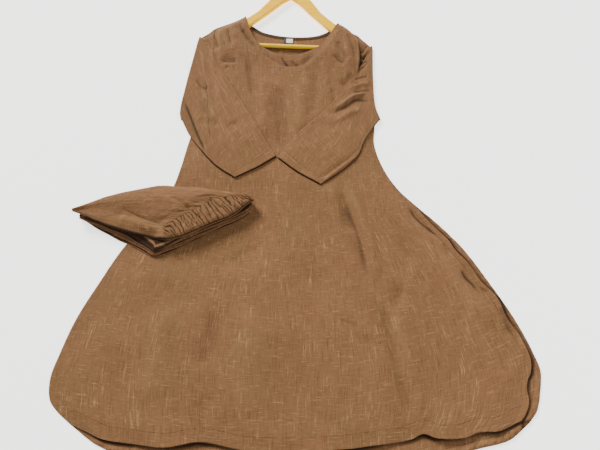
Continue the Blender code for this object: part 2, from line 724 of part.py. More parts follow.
def build_neck_pieces():
    """Back neck facing, blank label and size tab."""
    neck = edge_reader(BACK_NECK)
    start, end = FACING_SPAN
    fractions = [
        start + (end - start) * i / (FACING_STATIONS - 1) for i in range(FACING_STATIONS)
    ]
    edge_rows = ([], [])
    for f in fractions:
        tangent = (neck(f + 0.01) - neck(f - 0.01)).normalized()
        inward = Vector((tangent.y, -tangent.x, 0.0))
        edge_rows[0].append(neck(f) + inward * FACING_INSET)
        edge_rows[1].append(neck(f) + inward * FACING_WIDTH)
    lower = with_height(edge_rows, lambda *_: FRONT_REST)
    upper = with_height(edge_rows, lambda *_: FRONT_REST + FACING_CLOTH)
    facing = sheet_between("back_neck_facing", lower, upper, COTTON_INSIDE)
    label_floor = FRONT_REST + FACING_CLOTH + SEAM_GAP
    pieces = [facing]
    tab_left = LABEL_LEFT - SEAM_GAP - TAB_SIZE[0]
    for name, left, size, look in (
        ("neck_label", LABEL_LEFT, LABEL_SIZE, LABEL_WHITE),
        ("size_tab", tab_left, TAB_SIZE, LABEL_BLACK),
    ):
        bm = bmesh.new()
        centre = place(left + size[0] / 2, LABEL_BELOW + size[1] / 2)
        centre.z = label_floor + size[2] / 2
        box = Matrix.Translation(centre) @ Matrix.Diagonal((*size, 1.0))
        bmesh.ops.create_cube(bm, size=1.0, matrix=box)
        pieces.append(add_bmesh(name, bm, look))
    return pieces


# Sleeves

SPAN = tuple(i / 7 for i in range(8))
LOWER_ROWS = (0.0, 0.4, 0.75, 1.0)
TURN_DEGREES = (45.0, 90.0, 135.0)
UPPER_ROWS = (0.0, 0.04, 0.085, 0.14, 0.22, 0.32, 0.43, 0.55, 0.67, 0.79, 0.90, 1.0)
SLEEVE_MOUTH_LIFT = 0.0025
REST_GAP = SEAM_GAP + 0.0001   # faceted pieces that rest on each other
ARMHOLE_START = 0.004          # below the shoulder tip
ARMHOLE_STATIONS = 9


def build_sleeve(name, side, armhole_points, fold_rows, crown_rows, underarm_rows, hem_rows, tree):
    """A flattened tube that leaves the armhole, folds back and lies over the front."""
    armhole = path_reader(armhole_points)
    fold = edge_reader(fold_rows)
    upper = coons_grid(
        fold, edge_reader(hem_rows), edge_reader(crown_rows), edge_reader(underarm_rows),
        SPAN, UPPER_ROWS,
    )
    stack = 2 * SLEEVE_HALF + SLEEVE_STACK_GAP
    upper = with_height(
        upper,
        lambda x, below, i, j: stack + SLEEVE_MOUTH_LIFT * smoothstep(0.85, 1.0, UPPER_ROWS[i]),
    )
    rest_on(upper, tree, REST_GAP)

    rows = []
    for t in LOWER_ROWS:
        middles = [armhole(s).lerp(fold(s), t) + Vector((0, 0, SLEEVE_HALF)) for s in SPAN]
        rows.append((middles, [Vector((0, 0, -1))] * len(SPAN)))
    for degrees in TURN_DEGREES:
        angle = math.radians(degrees)
        middles, outward = [], []
        for j, s in enumerate(SPAN):
            tangent = (fold(min(s + 0.02, 1)) - fold(max(s - 0.02, 0))).normalized()
            out = Vector((tangent.y, -tangent.x, 0.0))
            out = out if out.x * side > 0 else -out
            radius = upper[0][j].z / 2
            away = out * math.sin(angle) - Vector((0, 0, math.cos(angle)))
            middles.append(fold(s) + Vector((0, 0, SLEEVE_HALF + radius)) + away * radius)
            outward.append(away)
        rows.append((middles, outward))
    for row in upper:
        middles = [p + Vector((0, 0, SLEEVE_HALF)) for p in row]
        rows.append((middles, [Vector((0, 0, 1))] * len(SPAN)))

    bm = bmesh.new()
    shells = []
    for half in (SLEEVE_HALF, SLEEVE_BORE_HALF):
        halves = [half] * len(SPAN)
        rings = [flat_ring(middles, outward, halves, halves, half) for middles, outward in rows]
        shells.append(loft(bm, rings))
    outside, inside = shells
    for end in (0, -1):
        strip_faces(bm, outside[end], inside[end], closed=True)
    return add_bmesh(name, bm, COTTON)


def armhole_line(rows, side, end):
    """Points just outside the kurta's edge, from the shoulder tip to the underarm."""
    reader = path_reader(side_points(rows, side))
    start = rows[0].below + ARMHOLE_START
    points = []
    for i in range(ARMHOLE_STATIONS):
        target = SHOULDER_Y - (start + (end - start) * i / (ARMHOLE_STATIONS - 1))
        low, high = 0.0, 1.0
        for _ in range(30):
            middle = (low + high) / 2
            if reader(middle).y > target:
                low = middle
            else:
                high = middle
        point = reader(low)
        points.append(point + Vector((side * ARMHOLE_ROOM, 0.0, 0.0)))
    return points


# Palazzo packet

def build_leg_lower(tree):
    """The packet's hidden layers as one rounded solid, layered at its edges."""
    outline_rows = STACK_OUTLINE + [STACK_OUTLINE[0]]
    outline = edge_reader(outline_rows)
    lean_at = path_reader(
        [Vector((row.x, row.below, 0.02 * row.lean)) for row in outline_rows], smooth=False
    )
    count = STACK_STATIONS
    points = [outline(i / count) for i in range(count)]
    leans = [lean_at(i / count).z / 0.02 for i in range(count)]
    centre = sum(points, Vector((0, 0, 0))) / count
    base = FRONT_REST + CLOTH + SEAM_GAP

    def resting(point):
        around = [
            top_of(tree, point.x + reach * math.cos(angle), point.y + reach * math.sin(angle))
            for reach in REST_REACHES
            for angle in (k * math.pi / 4 for k in range(8))
        ]
        on_kurta = max(around + [top_of(tree, point.x, point.y)])
        return on_kurta + REST_GAP if on_kurta > 0.0 else 0.0

    def inset_point(i, amount):
        tangent = (points[(i + 1) % count] - points[i - 1]).normalized()
        inward = Vector((-tangent.y, tangent.x, 0.0))
        if inward.dot(centre - points[i]) < 0:
            inward = -inward
        return points[i] + inward * amount

    bm = bmesh.new()
    rings = []
    for share in STACK_SHARES:
        ring = [centre.lerp(point, share) for point in points]
        rings.append([Vector((p.x, p.y, resting(p))) for p in ring])
    for layer in range(STACK_LAYERS):
        for height, pull in LAYER_PROFILE:
            ring = []
            for i in range(count):
                amount = leans[i] * LEAN_BACK * layer / (STACK_LAYERS - 1) + pull
                amount += 0.0005 * math.sin(5.0 * layer + 0.5 * i)
                point = inset_point(i, amount + (0.001 if layer == 0 else 0.0))
                floor = resting(points[i])
                lift = (base - floor) * (1.0 - layer / STACK_LAYERS)
                point.z = base + LAYER_THICK * (layer + height) - lift
                if layer == 0 and height == LAYER_PROFILE[0][0]:
                    point.z = floor
                ring.append(point)
            rings.append(ring)
    top = base + LAYER_THICK * STACK_LAYERS
    top_edge_points = rings[-1]
    for share in reversed(STACK_SHARES):
        rings.append([
            Vector((*centre.lerp(point, share).xy, top + 0.0008 * (1.0 - share)))
            for point in top_edge_points
        ])
    verts = loft(bm, rings)
    bottom_hub = bm.verts.new((centre.x, centre.y, resting(centre)))
    top_hub = bm.verts.new((centre.x, centre.y, top + 0.001))
    for hub, ring in ((bottom_hub, verts[0]), (top_hub, verts[-1])):
        for i in range(count):
            bm.faces.new((ring[i], ring[(i + 1) % count], hub))
    return add_bmesh("palazzo_leg_lower", bm, COTTON)


def build_waistband():
    """Gathered elastic casing folded back under itself at its right end."""
    near = edge_reader(BAND_NEAR_EDGE)
    far = edge_reader(BAND_FAR_EDGE)
    top_stations = [i / (3 * GATHERS) for i in range(3 * GATHERS + 1)]
    low_stations = [1.0 - i / (BAND_LOW_STATIONS - 1) for i in range(BAND_LOW_STATIONS)]
    plain = [BAND_PLAIN_HALF] * len(BAND_WIDTHS)
    radius = (BAND_TOP_MID - BAND_LOW_MID) / 2
    end_out = (near(1.0) - near(0.97) + far(1.0) - far(0.97)).normalized()

    def middles_at(s, height, shift=0.0):
        row = [near(s).lerp(far(s), w) for w in BAND_WIDTHS]
        return [p + end_out * shift + Vector((0, 0, height)) for p in row]

    rings = []
    for s in top_stations:
        wave = 0.5 - 0.5 * math.cos(2 * math.pi * GATHERS * s)
        outer = [BAND_HALF * 0.7 + GATHER_HEIGHT * wave * share for share in BAND_CROWN]
        outward = [Vector((0, 0, 1))] * len(BAND_WIDTHS)
        reach = BAND_REACH * (2 + 2 * wave) / 3
        rings.append(flat_ring(middles_at(s, BAND_TOP_MID), outward, outer, plain, reach))
    for degrees in TURN_DEGREES:
        angle = math.radians(degrees)
        away = end_out * math.sin(angle) + Vector((0, 0, math.cos(angle)))
        middle_height = (BAND_TOP_MID + BAND_LOW_MID) / 2 + radius * math.cos(angle)
        middles = middles_at(1.0, middle_height, radius * math.sin(angle))
        rings.append(flat_ring(middles, [away] * len(BAND_WIDTHS), plain, plain, BAND_REACH))
    for s in low_stations:
        outward = [Vector((0, 0, -1))] * len(BAND_WIDTHS)
        rings.append(flat_ring(middles_at(s, BAND_LOW_MID), outward, plain, plain, BAND_REACH))
    bm = bmesh.new()
    verts = loft(bm, rings)
    bm.faces.new(verts[0])
    bm.faces.new(verts[-1])
    return add_bmesh("palazzo_waistband", bm, COTTON)


LEG_LENGTH_ROWS = (
    0.0, 0.02, 0.06, 0.12, 0.20, 0.30, 0.40, 0.50, 0.60, 0.70, 0.79, 0.87, 0.93, 0.97, 1.0,
)
BAND_CORNER_SHARE = 0.12   # the leg's near corner stands clear of the band by this share
LEG_WIDTH_COLUMNS = (
    0.0, 0.03, 0.07, BAND_CORNER_SHARE, 0.20, 0.29, 0.39, 0.49, 0.59, 0.70, 0.80, 0.88, 0.94,
    0.98, 1.0,
)
CLEAR_OF_BAND = 0.0036
LEG_FLOOR = 0.0175         # underside where it lies on the layers
LEG_OVERHANG = 0.0065      # how far its near edge stands off them
LEG_TIP_LIFT = 0.0030
LEG_FILLING = 0.0095       # the folded layers inside it
LEG_HEEL = 0.0060          # its thickening at the near corner
LEG_LEAST = 0.0020
LEG_BAND_FALL = 0.35       # how much of the filling ends before the waistband
LEG_CREASES = table(
    "x0 below0 x1 below1 width depth",
    (-0.402, 0.636, -0.303, 0.657, 0.010, 0.0035),
    (-0.215, 0.596, -0.225, 0.615, 0.008, 0.0030),
    (-0.440, 0.612, -0.340, 0.600, 0.030, -0.0030),
)


def build_leg_upper(tree):
    """The top leg: thin over the gap at its near edge, thick where it meets the waistband."""
    tip = path_reader([place(-0.518, 0.630), place(-0.520, 0.626)], smooth=False)
    band_side = edge_reader(BAND_FAR_EDGE)

    def past_band(fraction):
        tangent = band_side(min(fraction + 0.02, 1)) - band_side(max(fraction - 0.02, 0))
        tangent.normalize()
        return band_side(fraction) + Vector((-tangent.y, tangent.x, 0.0)) * CLEAR_OF_BAND

    band_corner = past_band(0.0) - Vector((CLEAR_OF_BAND / 2, 0.0, 0.0))
    near_corner = place(LEG_NEAR_EDGE[-1].x, LEG_NEAR_EDGE[-1].below)
    along_band = path_reader([band_corner] + [past_band(i / 12) for i in range(1, 13)])
    band_edge = joined_reader((
        (0.0, path_reader([near_corner, band_corner], smooth=False)),
        (BAND_CORNER_SHARE, along_band),
    ))
    near = edge_reader(LEG_NEAR_EDGE)
    far = path_reader([place(row.x, row.below) for row in LEG_FAR_EDGE[:-1]] + [band_edge(1.0)])
    plan = coons_grid(tip, band_edge, near, far, LEG_WIDTH_COLUMNS, LEG_LENGTH_ROWS)

    def underside(x, below, i, j):
        u, v = LEG_LENGTH_ROWS[i], LEG_WIDTH_COLUMNS[j]
        overhang = 1.0 - smoothstep(0.10, 0.42, v)
        overhang *= 1.0 - smoothstep(0.72, 0.92, u)
        tip = LEG_TIP_LIFT * (1.0 - smoothstep(0.0, 0.15, u))
        return LEG_FLOOR + LEG_OVERHANG * overhang + tip

    lower = with_height(plan, underside)
    rest_on(lower, tree, REST_GAP)

    def thickness(u, v):
        rounded = math.sqrt(max(0.0, 1.0 - (2.0 * v - 1.0) ** 2))
        body = LEG_FILLING * smoothstep(0.10, 0.50, v) * rounded
        body += LEG_HEEL * smoothstep(0.55, 1.0, u) * smoothstep(0.0, 0.10, v)
        body *= 1.0 - LEG_BAND_FALL * smoothstep(0.82, 1.0, u)
        return LEG_CLOTH * (0.45 + 0.55 * smoothstep(0.0, 0.08, min(v, 1 - v))) + body

    upper = []
    for i, row in enumerate(lower):
        upper_row = []
        for j, p in enumerate(row):
            top = p.z + thickness(LEG_LENGTH_ROWS[i], LEG_WIDTH_COLUMNS[j])
            for crease in LEG_CREASES:
                away, _ = distance_to_segment(
                    p.x, SHOULDER_Y - p.y, (crease.x0, crease.below0), (crease.x1, crease.below1)
                )
                top -= crease.depth * math.exp(-((away / crease.width) ** 2))
            upper_row.append(Vector((p.x, p.y, max(top, p.z + LEG_LEAST))))
        upper.append(upper_row)
    return sheet_between("palazzo_leg_upper", lower, upper, COTTON)


def main():
    """Clear the scene and build the set from the floor up."""
    for obj in list(bpy.data.objects):
        bpy.data.objects.remove(obj, do_unlink=True)
    collection = bpy.data.collections.new(COLLECTION)
    bpy.context.scene.collection.children.link(collection)

    build_back()
    build_neck_pieces()
    arms, bar, _ = build_hanger()
    bpy.context.view_layer.update()
    front = build_front(surface_tree(arms, bar))
    bpy.context.view_layer.update()
    front_tree = surface_tree(front)
    build_sleeve(
        "sleeve_left", -1, armhole_line(LEFT_EDGE, -1, LEFT_ARMHOLE_END), LEFT_FOLD,
        LEFT_CROWN, LEFT_UNDERARM, LEFT_SLEEVE_HEM, front_tree,
    )
    build_sleeve(
        "sleeve_right", 1, armhole_line(RIGHT_EDGE, 1, RIGHT_ARMHOLE_END), RIGHT_FOLD,
        RIGHT_CROWN, RIGHT_UNDERARM, RIGHT_SLEEVE_HEM, front_tree,
    )
    stack = build_leg_lower(front_tree)
    build_waistband()
    bpy.context.view_layer.update()
    build_leg_upper(surface_tree(stack))


main()
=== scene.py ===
"""Looks of the kurta and palazzo set: slub cotton laid flat, with a lacquered hanger inside.

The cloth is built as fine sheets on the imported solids' form. Plan positions are read from
the photograph's own view, so a crease lies where the photograph shows it.
"""

from __future__ import annotations

import logging
import math
from dataclasses import dataclass, field
from enum import Enum
from functools import partial

import bpy
import numpy as np
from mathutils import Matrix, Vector
from mathutils.bvhtree import BVHTree

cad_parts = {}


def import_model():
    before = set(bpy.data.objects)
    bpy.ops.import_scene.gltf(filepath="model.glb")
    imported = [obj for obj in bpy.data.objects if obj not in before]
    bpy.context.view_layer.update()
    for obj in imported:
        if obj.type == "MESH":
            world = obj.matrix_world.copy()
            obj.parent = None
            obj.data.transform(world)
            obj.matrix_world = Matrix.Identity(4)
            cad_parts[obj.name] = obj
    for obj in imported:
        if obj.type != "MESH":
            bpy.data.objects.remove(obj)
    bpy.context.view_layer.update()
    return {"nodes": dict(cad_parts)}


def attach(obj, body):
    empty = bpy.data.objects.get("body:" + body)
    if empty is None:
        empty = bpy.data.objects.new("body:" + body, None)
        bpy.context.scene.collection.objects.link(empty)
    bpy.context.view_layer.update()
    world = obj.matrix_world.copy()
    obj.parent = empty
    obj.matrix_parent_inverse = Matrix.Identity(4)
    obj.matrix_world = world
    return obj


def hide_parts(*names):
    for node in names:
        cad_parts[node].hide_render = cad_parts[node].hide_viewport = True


LOG = logging.getLogger("kurta_palazzo_set")
BODY = "root"
SHOULDER_Y = 0.575
CLOTH = 0.0012
SEAM_GAP = 0.0003
BACK_CLOTH = 0.0015
UP = np.array([0.0, 0.0, 1.0])

Array = np.ndarray
Object = bpy.types.Object
Material = bpy.types.Material
Tree = bpy.types.NodeTree
Node = bpy.types.Node
Socket = bpy.types.NodeSocket
Points = tuple[tuple[float, ...], ...]
# The creases are drawn a little deeper than they are, so that soft light still shows them
CREASE_STRENGTH = 1.8
# Depth at which a pinched crease's painted shade is darkest, the width past which it is paler, and its
# most dark
DARK_DEPTH = 0.0080
DARK_WIDTH = 0.0042
DARK_MOST = 0.75


@dataclass(frozen=True)
class PhotoView:
    """Where the photograph was taken from, for a picture of 600 by 450 pixels."""

    width: float = 600.0
    height: float = 450.0
    focal_pixels: float = 450.0
    camera_height: float = 0.95
    camera_y: float = -0.5
    pitch: float = math.radians(66.0)
    sensor_mm: float = 36.0

    def plan(self, px: float, py: float, level: float = 0.004) -> tuple[float, float]:
        """Plan position of a pixel on a level surface.

        Args:
            px: pixel column.
            py: pixel row.
            level: height of the surface that the pixel shows.

        Returns:
            The x and y of the point in the row's frame.
        """
        right = (px - self.width / 2) / self.focal_pixels
        up = -(py - self.height / 2) / self.focal_pixels
        forward = math.cos(self.pitch) + up * math.sin(self.pitch)
        down = math.sin(self.pitch) - up * math.cos(self.pitch)
        reach = (self.camera_height - level) / down
        return right * reach, self.camera_y + forward * reach

    def line(self, pixels: Points, level: float = 0.004) -> Array:
        """Plan positions of several pixels, one row each."""
        return np.array([self.plan(px, py, level) for px, py in pixels])


VIEW = PhotoView()


def smoothstep(start: float, end: float, value: Array | float) -> Array | float:
    """0 before start and 1 after end, with a soft step between."""
    t = np.clip((np.asarray(value, float) - start) / (end - start), 0.0, 1.0)
    return t * t * (3.0 - 2.0 * t)


def window(rise: tuple[float, float], fall: tuple[float, float], value: Array) -> Array:
    """1 from the end of rise to the start of fall, with soft steps there, and 0 elsewhere."""
    return smoothstep(*rise, value) * (1.0 - smoothstep(*fall, value))


def bell(value: Array, centre: float, width: float) -> Array:
    """1 at the centre, falling softly to both sides."""
    return np.exp(-(((value - centre) / width) ** 2))


def unit(rows: Array) -> Array:
    """Each row at length one."""
    return rows / np.linalg.norm(rows, axis=1)[:, None]


def metres(*rows: tuple[float, ...]) -> Points:
    """Rows of millimetres as rows of metres."""
    return tuple(tuple(value / 1000.0 for value in row) for row in rows)


def below_to_plan(rows: Points) -> Array:
    """Plan positions from rows of x and distance below the high shoulder point."""
    return np.array([(x, SHOULDER_Y - below) for x, below in rows])


class SmoothPath:
    """A smooth curve through points, read by the fraction of its length."""

    STEPS = 10

    def __init__(self, points: Array, smooth: bool = True) -> None:
        """Take the points and work out the curve.

        Args:
            points: one plan position a row.
            smooth: whether the curve rounds its points.
        """
        self.dense = self._rounded(points) if smooth and len(points) > 2 else points
        steps = np.linalg.norm(np.diff(self.dense, axis=0), axis=1)
        self.lengths = np.concatenate([[0.0], np.cumsum(steps)])

    def _rounded(self, points: Array) -> Array:
        """Dense points of the curve.

        Args:
            points: the points that it passes through.

        Returns:
            The points, one a row.
        """
        chords = np.maximum(np.linalg.norm(np.diff(points, axis=0), axis=1), 1e-9)[:, None]
        slopes = np.diff(points, axis=0) / chords
        tangents = np.vstack([slopes[:1], (slopes[:-1] + slopes[1:]) / 2, slopes[-1:]])
        rows = [points[:1]]
        t = (np.arange(1, self.STEPS + 1) / self.STEPS)[:, None]
        near = 2 * t**3 - 3 * t**2 + 1
        for i in range(len(points) - 1):
            rows.append(
                points[i] * near + points[i + 1] * (1 - near)
                + tangents[i] * chords[i] * (t**3 - 2 * t**2 + t)
                + tangents[i + 1] * chords[i] * (t**3 - t**2)
            )
        return np.vstack(rows)

    def at(self, fractions: Array | float) -> Array:
        """Points at fractions of the length, one a row.

        Args:
            fractions: where, from 0 to 1.

        Returns:
            Their plan positions.
        """
        targets = np.clip(np.atleast_1d(fractions), 0.0, 1.0) * self.lengths[-1]
        columns = [np.interp(targets, self.lengths, self.dense[:, k]) for k in (0, 1)]
        return np.stack(columns, axis=1)


class JoinedPath:
    """Paths end to end, each starting at its own fraction."""

    def __init__(self, pieces: tuple[tuple[float, SmoothPath], ...]) -> None:
        """Take the pieces with their start fractions."""
        self.pieces = pieces

    def at(self, fractions: Array | float) -> Array:
        """Points at fractions of the whole, one a row.

        Args:
            fractions: where, from 0 to 1.

        Returns:
            Their plan positions.
        """
        wanted = np.atleast_1d(fractions).astype(float)
        found = np.zeros((len(wanted), 2))
        starts = [start for start, _ in self.pieces] + [1.0]
        for i, (start, path) in enumerate(self.pieces):
            last = i == len(self.pieces) - 1
            inside = (wanted >= start) & ((wanted < starts[i + 1]) | last)
            if inside.any():
                found[inside] = path.at((wanted[inside] - start) / (starts[i + 1] - start))
        return found


def coons(
    top: SmoothPath | JoinedPath, bottom: SmoothPath | JoinedPath,
    left: SmoothPath, right: SmoothPath, across: Array, down: Array,
) -> Array:
    """Fill four edges with a grid of plan positions.

    Args:
        top: edge read across at the first row.
        bottom: edge read across at the last row.
        left: edge read down at the first column.
        right: edge read down at the last column.
        across: fractions of the columns.
        down: fractions of the rows.

    Returns:
        An array of rows, columns and x, y.
    """
    u = across[None, :, None]
    v = down[:, None, None]
    head, foot = top.at(across)[None], bottom.at(across)[None]
    first, last = left.at(down)[:, None], right.at(down)[:, None]
    a, b = top.at(0.0)[0], top.at(1.0)[0]
    c, d = bottom.at(0.0)[0], bottom.at(1.0)[0]
    corners = (a * (1 - u) + b * u) * (1 - v) + (c * (1 - u) + d * u) * v
    return head * (1 - v) + foot * v + first * (1 - u) + last * u - corners


class CreaseShape(Enum):
    """How a crease looks across its line."""

    SOFT = "soft"
    PINCH = "pinch"
    LAP = "lap"


def nearest_on_line(line: Array, x: Array, y: Array) -> tuple[Array, ...]:
    """Where places lie beside a polyline.

    Args:
        line: its points, one a row.
        x: plan x of each place.
        y: plan y of each place.

    Returns:
        Distance to the line, how far along it in points, and 1 to its left or -1 to its right.
    """
    best = np.full(x.shape, 1e9)
    along, side = np.zeros_like(x), np.zeros_like(x)
    for i, (a, b) in enumerate(zip(line, line[1:])):
        run = b - a
        dx, dy = x - a[0], y - a[1]
        t = np.clip((dx * run[0] + dy * run[1]) / max(float(run @ run), 1e-12), 0.0, 1.0)
        away = np.hypot(dx - t * run[0], dy - t * run[1])
        closer = away < best
        best = np.where(closer, away, best)
        along = np.where(closer, i + t, along)
        side = np.where(closer, np.sign(run[0] * dy - run[1] * dx), side)
    return best, along, side


def distance_to_path(line: Array, x: Array, y: Array) -> tuple[Array, Array]:
    """Distance of places to a polyline, and how far along it they are, in metres.

    Args:
        line: its points, one a row.
        x: plan x of each place.
        y: plan y of each place.

    Returns:
        Both, for each place.
    """
    away, along, _ = nearest_on_line(line, x, y)
    return away, np.interp(along, np.arange(len(line)), SmoothPath(line, smooth=False).lengths)


@dataclass(frozen=True)
class Crease:
    """A crease placed along pixels of the photograph."""

    line: Points
    width: float
    height: float
    shape: CreaseShape
    level: float

    def heights(self, x: Array, y: Array) -> Array:
        """What the crease adds to a surface at some places.

        Args:
            x: plan x of each place.
            y: plan y of each place.

        Returns:
            The added height of each place, in metres.
        """
        dense = SmoothPath(VIEW.line(self.line, self.level)).at(np.linspace(0.0, 1.0, 14))
        reach = 5.0 * self.width
        low, high = dense.min(axis=0) - reach, dense.max(axis=0) + reach
        near = (x > low[0]) & (x < high[0]) & (y > low[1]) & (y < high[1])
        away, along, side = nearest_on_line(dense, x[near], y[near])
        fade = window((0.0, 0.22), (0.78, 1.0), along / (len(dense) - 1))
        if self.shape is CreaseShape.SOFT:
            profile = bell(away, 0.0, self.width)
        elif self.shape is CreaseShape.PINCH:
            profile = np.exp(-away / self.width) * smoothstep(0.0, 0.3, 1.0 - away / reach)
        else:
            rising, falling = np.exp(-away / (2.2 * self.width)), bell(away, 0.0, 0.45 * self.width)
            profile = np.where(side > 0, rising, falling)
        added = np.zeros_like(x)
        added[near] = CREASE_STRENGTH * self.height * fade * profile
        return added


def photo_crease(
    shape: CreaseShape, width_mm: float, height_mm: float, *line: tuple[float, float],
    level_mm: float = 6.0,
) -> Crease:
    """A crease along pixels of the photograph.

    Args:
        shape: how it looks across its line.
        width_mm: its width.
        height_mm: its height, below 0 for a valley.
        line: the pixels that it runs through.
        level_mm: how high the cloth lies there.

    Returns:
        The crease, in metres.
    """
    return Crease(line, width_mm / 1000.0, height_mm / 1000.0, shape, level_mm / 1000.0)


soft = partial(photo_crease, CreaseShape.SOFT)
pinch = partial(photo_crease, CreaseShape.PINCH)
lap = partial(photo_crease, CreaseShape.LAP)


def crease_sum(creases: tuple[Crease, ...], x: Array, y: Array) -> Array:
    """Heights that several creases add together."""
    return sum((crease.heights(x, y) for crease in creases), np.zeros_like(x))


def crease_shade(creases: tuple[Crease, ...], x: Array, y: Array) -> Array:
    """How far each place lies in a pinched crease, as painted shade; a wide one is paler.

    Args:
        creases: creases of any shape.
        x: plan x of each place.
        y: plan y of each place.

    Returns:
        Share of painted shade, up to DARK_MOST.
    """
    pinched = [crease for crease in creases if crease.shape is CreaseShape.PINCH]
    total = np.zeros_like(x)
    for crease in pinched:
        total += crease.heights(x, y) * min(1.0, DARK_WIDTH / crease.width)
    return np.clip(total / -DARK_DEPTH, 0.0, DARK_MOST)


def tree_of(*objects: Object) -> BVHTree:
    """Search tree of some meshes that lie at the origin.

    Args:
        objects: the meshes.

    Returns:
        The tree, in metres.
    """
    points: list[Vector] = []
    faces: list[list[int]] = []
    for obj in objects:
        start = len(points)
        points += [vertex.co.copy() for vertex in obj.data.vertices]
        faces += [[start + i for i in polygon.vertices] for polygon in obj.data.polygons]
    return BVHTree.FromPolygons(points, faces)


def ray_heights(tree: BVHTree, x: Array, y: Array, upwards: bool = False) -> Array:
    """Height of the surface at each place, or nan where there is none.

    Args:
        tree: what is looked for.
        x: plan x of each place.
        y: plan y of each place.
        upwards: look from below instead of from above.

    Returns:
        The heights, in the shape of x.
    """
    start, way = (-1.0, 1.0) if upwards else (1.0, -1.0)
    heights = np.full(x.size, np.nan)
    for i, (px, py) in enumerate(zip(x.ravel(), y.ravel())):
        hit = tree.ray_cast(Vector((px, py, start)), Vector((0.0, 0.0, way)))[0]
        if hit is not None:
            heights[i] = hit.z
    return heights.reshape(x.shape)


def spread(z: Array) -> Array:
    """Neighbours of each height in a grid, stacked.

    Args:
        z: the grid.

    Returns:
        Nine grids, of which the middle one is the grid itself.
    """
    padded = np.pad(z, 1, mode="edge")
    rows, columns = z.shape
    return np.stack([
        padded[i:i + rows, j:j + columns] for i in range(3) for j in range(3)
    ])


def fill_gaps(z: Array) -> Array:
    """Give heights to places that have none, from their neighbours.

    Args:
        z: heights, nan where there is none.

    Returns:
        The heights, 0 far from any known one.
    """
    z = z.copy()
    for _ in range(60):
        gaps = np.isnan(z)
        if not gaps.any():
            break
        around = spread(z)
        known = ~np.isnan(around)
        count = known.sum(axis=0)
        mean = np.where(known, around, 0.0).sum(axis=0) / np.maximum(count, 1)
        z[gaps & (count > 0)] = mean[gaps & (count > 0)]
    return np.nan_to_num(z)


def soften(z: Array, passes: int) -> Array:
    """Average a grid's heights with their neighbours.

    Args:
        z: the grid.
        passes: how often.

    Returns:
        The softer grid.
    """
    for _ in range(passes):
        z = spread(z).mean(axis=0)
    return z


def hollows(z: Array, depth: float, passes: int = 4) -> Array:
    """How far each place of a grid lies in a valley, or below 0 on a ridge, as a share of depth."""
    return np.clip((soften(z, passes) - z) / depth, -1.0, 1.0)


def settle(x: Array, y: Array, wanted: Array, tree: BVHTree, gap: float, passes: int = 3) -> Array:
    """Lay heights on what is below them, with soft falls beside it.

    Args:
        x: plan x of the grid.
        y: plan y of the grid.
        wanted: the heights that the cloth would have by itself.
        tree: what it lies on.
        gap: space kept to it.
        passes: how far the falls spread.

    Returns:
        Heights that clear what is below.
    """
    floor = np.nan_to_num(ray_heights(tree, x, y), nan=-1.0)
    floor = spread(floor).max(axis=0) + gap
    z = np.maximum(wanted, floor)
    for _ in range(passes):
        z = np.maximum(soften(z, 2), floor)
    return z


def link_mesh(name: str, points: Array, faces: list[tuple[int, ...]]) -> Object:
    """A new smooth-shaded object at the origin from points and faces.

    Args:
        name: its name.
        points: x, y and z, one a row.
        faces: vertices of each face.

    Returns:
        The new object.
    """
    mesh = bpy.data.meshes.new(name)
    mesh.from_pydata([tuple(p) for p in points], [], faces)
    mesh.validate()
    mesh.shade_smooth()
    obj = bpy.data.objects.new(name, mesh)
    bpy.context.scene.collection.objects.link(obj)
    return obj


def add_uv(obj: Object, uv: Array) -> None:
    """Give each vertex its place on the cut cloth, in metres.

    Args:
        obj: the piece.
        uv: two positions for each vertex.
    """
    layer = obj.data.uv_layers.new(name="cloth")
    index = np.zeros(len(obj.data.loops), int)
    obj.data.loops.foreach_get("vertex_index", index)
    layer.data.foreach_set("uv", uv[index].astype(np.float32).ravel())


def add_mark(obj: Object, name: str, values: Array) -> None:
    """Keep a number for each vertex, which the piece's finish reads."""
    layer = obj.data.attributes.new(name, "FLOAT", "POINT")
    layer.data.foreach_set("value", values.astype(np.float32).ravel())


def grid_faces(rows: int, columns: int, start: int = 0, flip: bool = False) -> list[tuple[int, ...]]:
    """Quads of a grid of vertices that are numbered row by row.

    Args:
        rows: rows of vertices.
        columns: vertices in a row.
        start: the first vertex.
        flip: turn the faces over.

    Returns:
        The quads.
    """
    faces = []
    for i in range(rows - 1):
        for j in range(columns - 1):
            a = start + i * columns + j
            quad = (a, a + columns, a + columns + 1, a + 1)
            faces.append(tuple(reversed(quad)) if flip else quad)
    return faces


def rim_indices(rows: int, columns: int) -> list[int]:
    """Vertices round a grid's edge, in order.

    Args:
        rows: rows of vertices.
        columns: vertices in a row.

    Returns:
        The vertices.
    """
    top = list(range(columns))
    right = [i * columns + columns - 1 for i in range(1, rows)]
    bottom = [(rows - 1) * columns + j for j in range(columns - 2, -1, -1)]
    left = [i * columns for i in range(rows - 2, 0, -1)]
    return top + right + bottom + left


def ring_faces(count: int, size: int, start: int = 0, flip: bool = False) -> list[tuple[int, ...]]:
    """Quads between closed rings of vertices that are numbered ring by ring.

    Args:
        count: how many rings.
        size: vertices in a ring.
        start: the first vertex.
        flip: turn the faces over.

    Returns:
        The quads.
    """
    faces = []
    for i in range(count - 1):
        for j in range(size):
            a, b = start + i * size + j, start + i * size + (j + 1) % size
            quad = (a, b, b + size, a + size)
            faces.append(tuple(reversed(quad)) if flip else quad)
    return faces


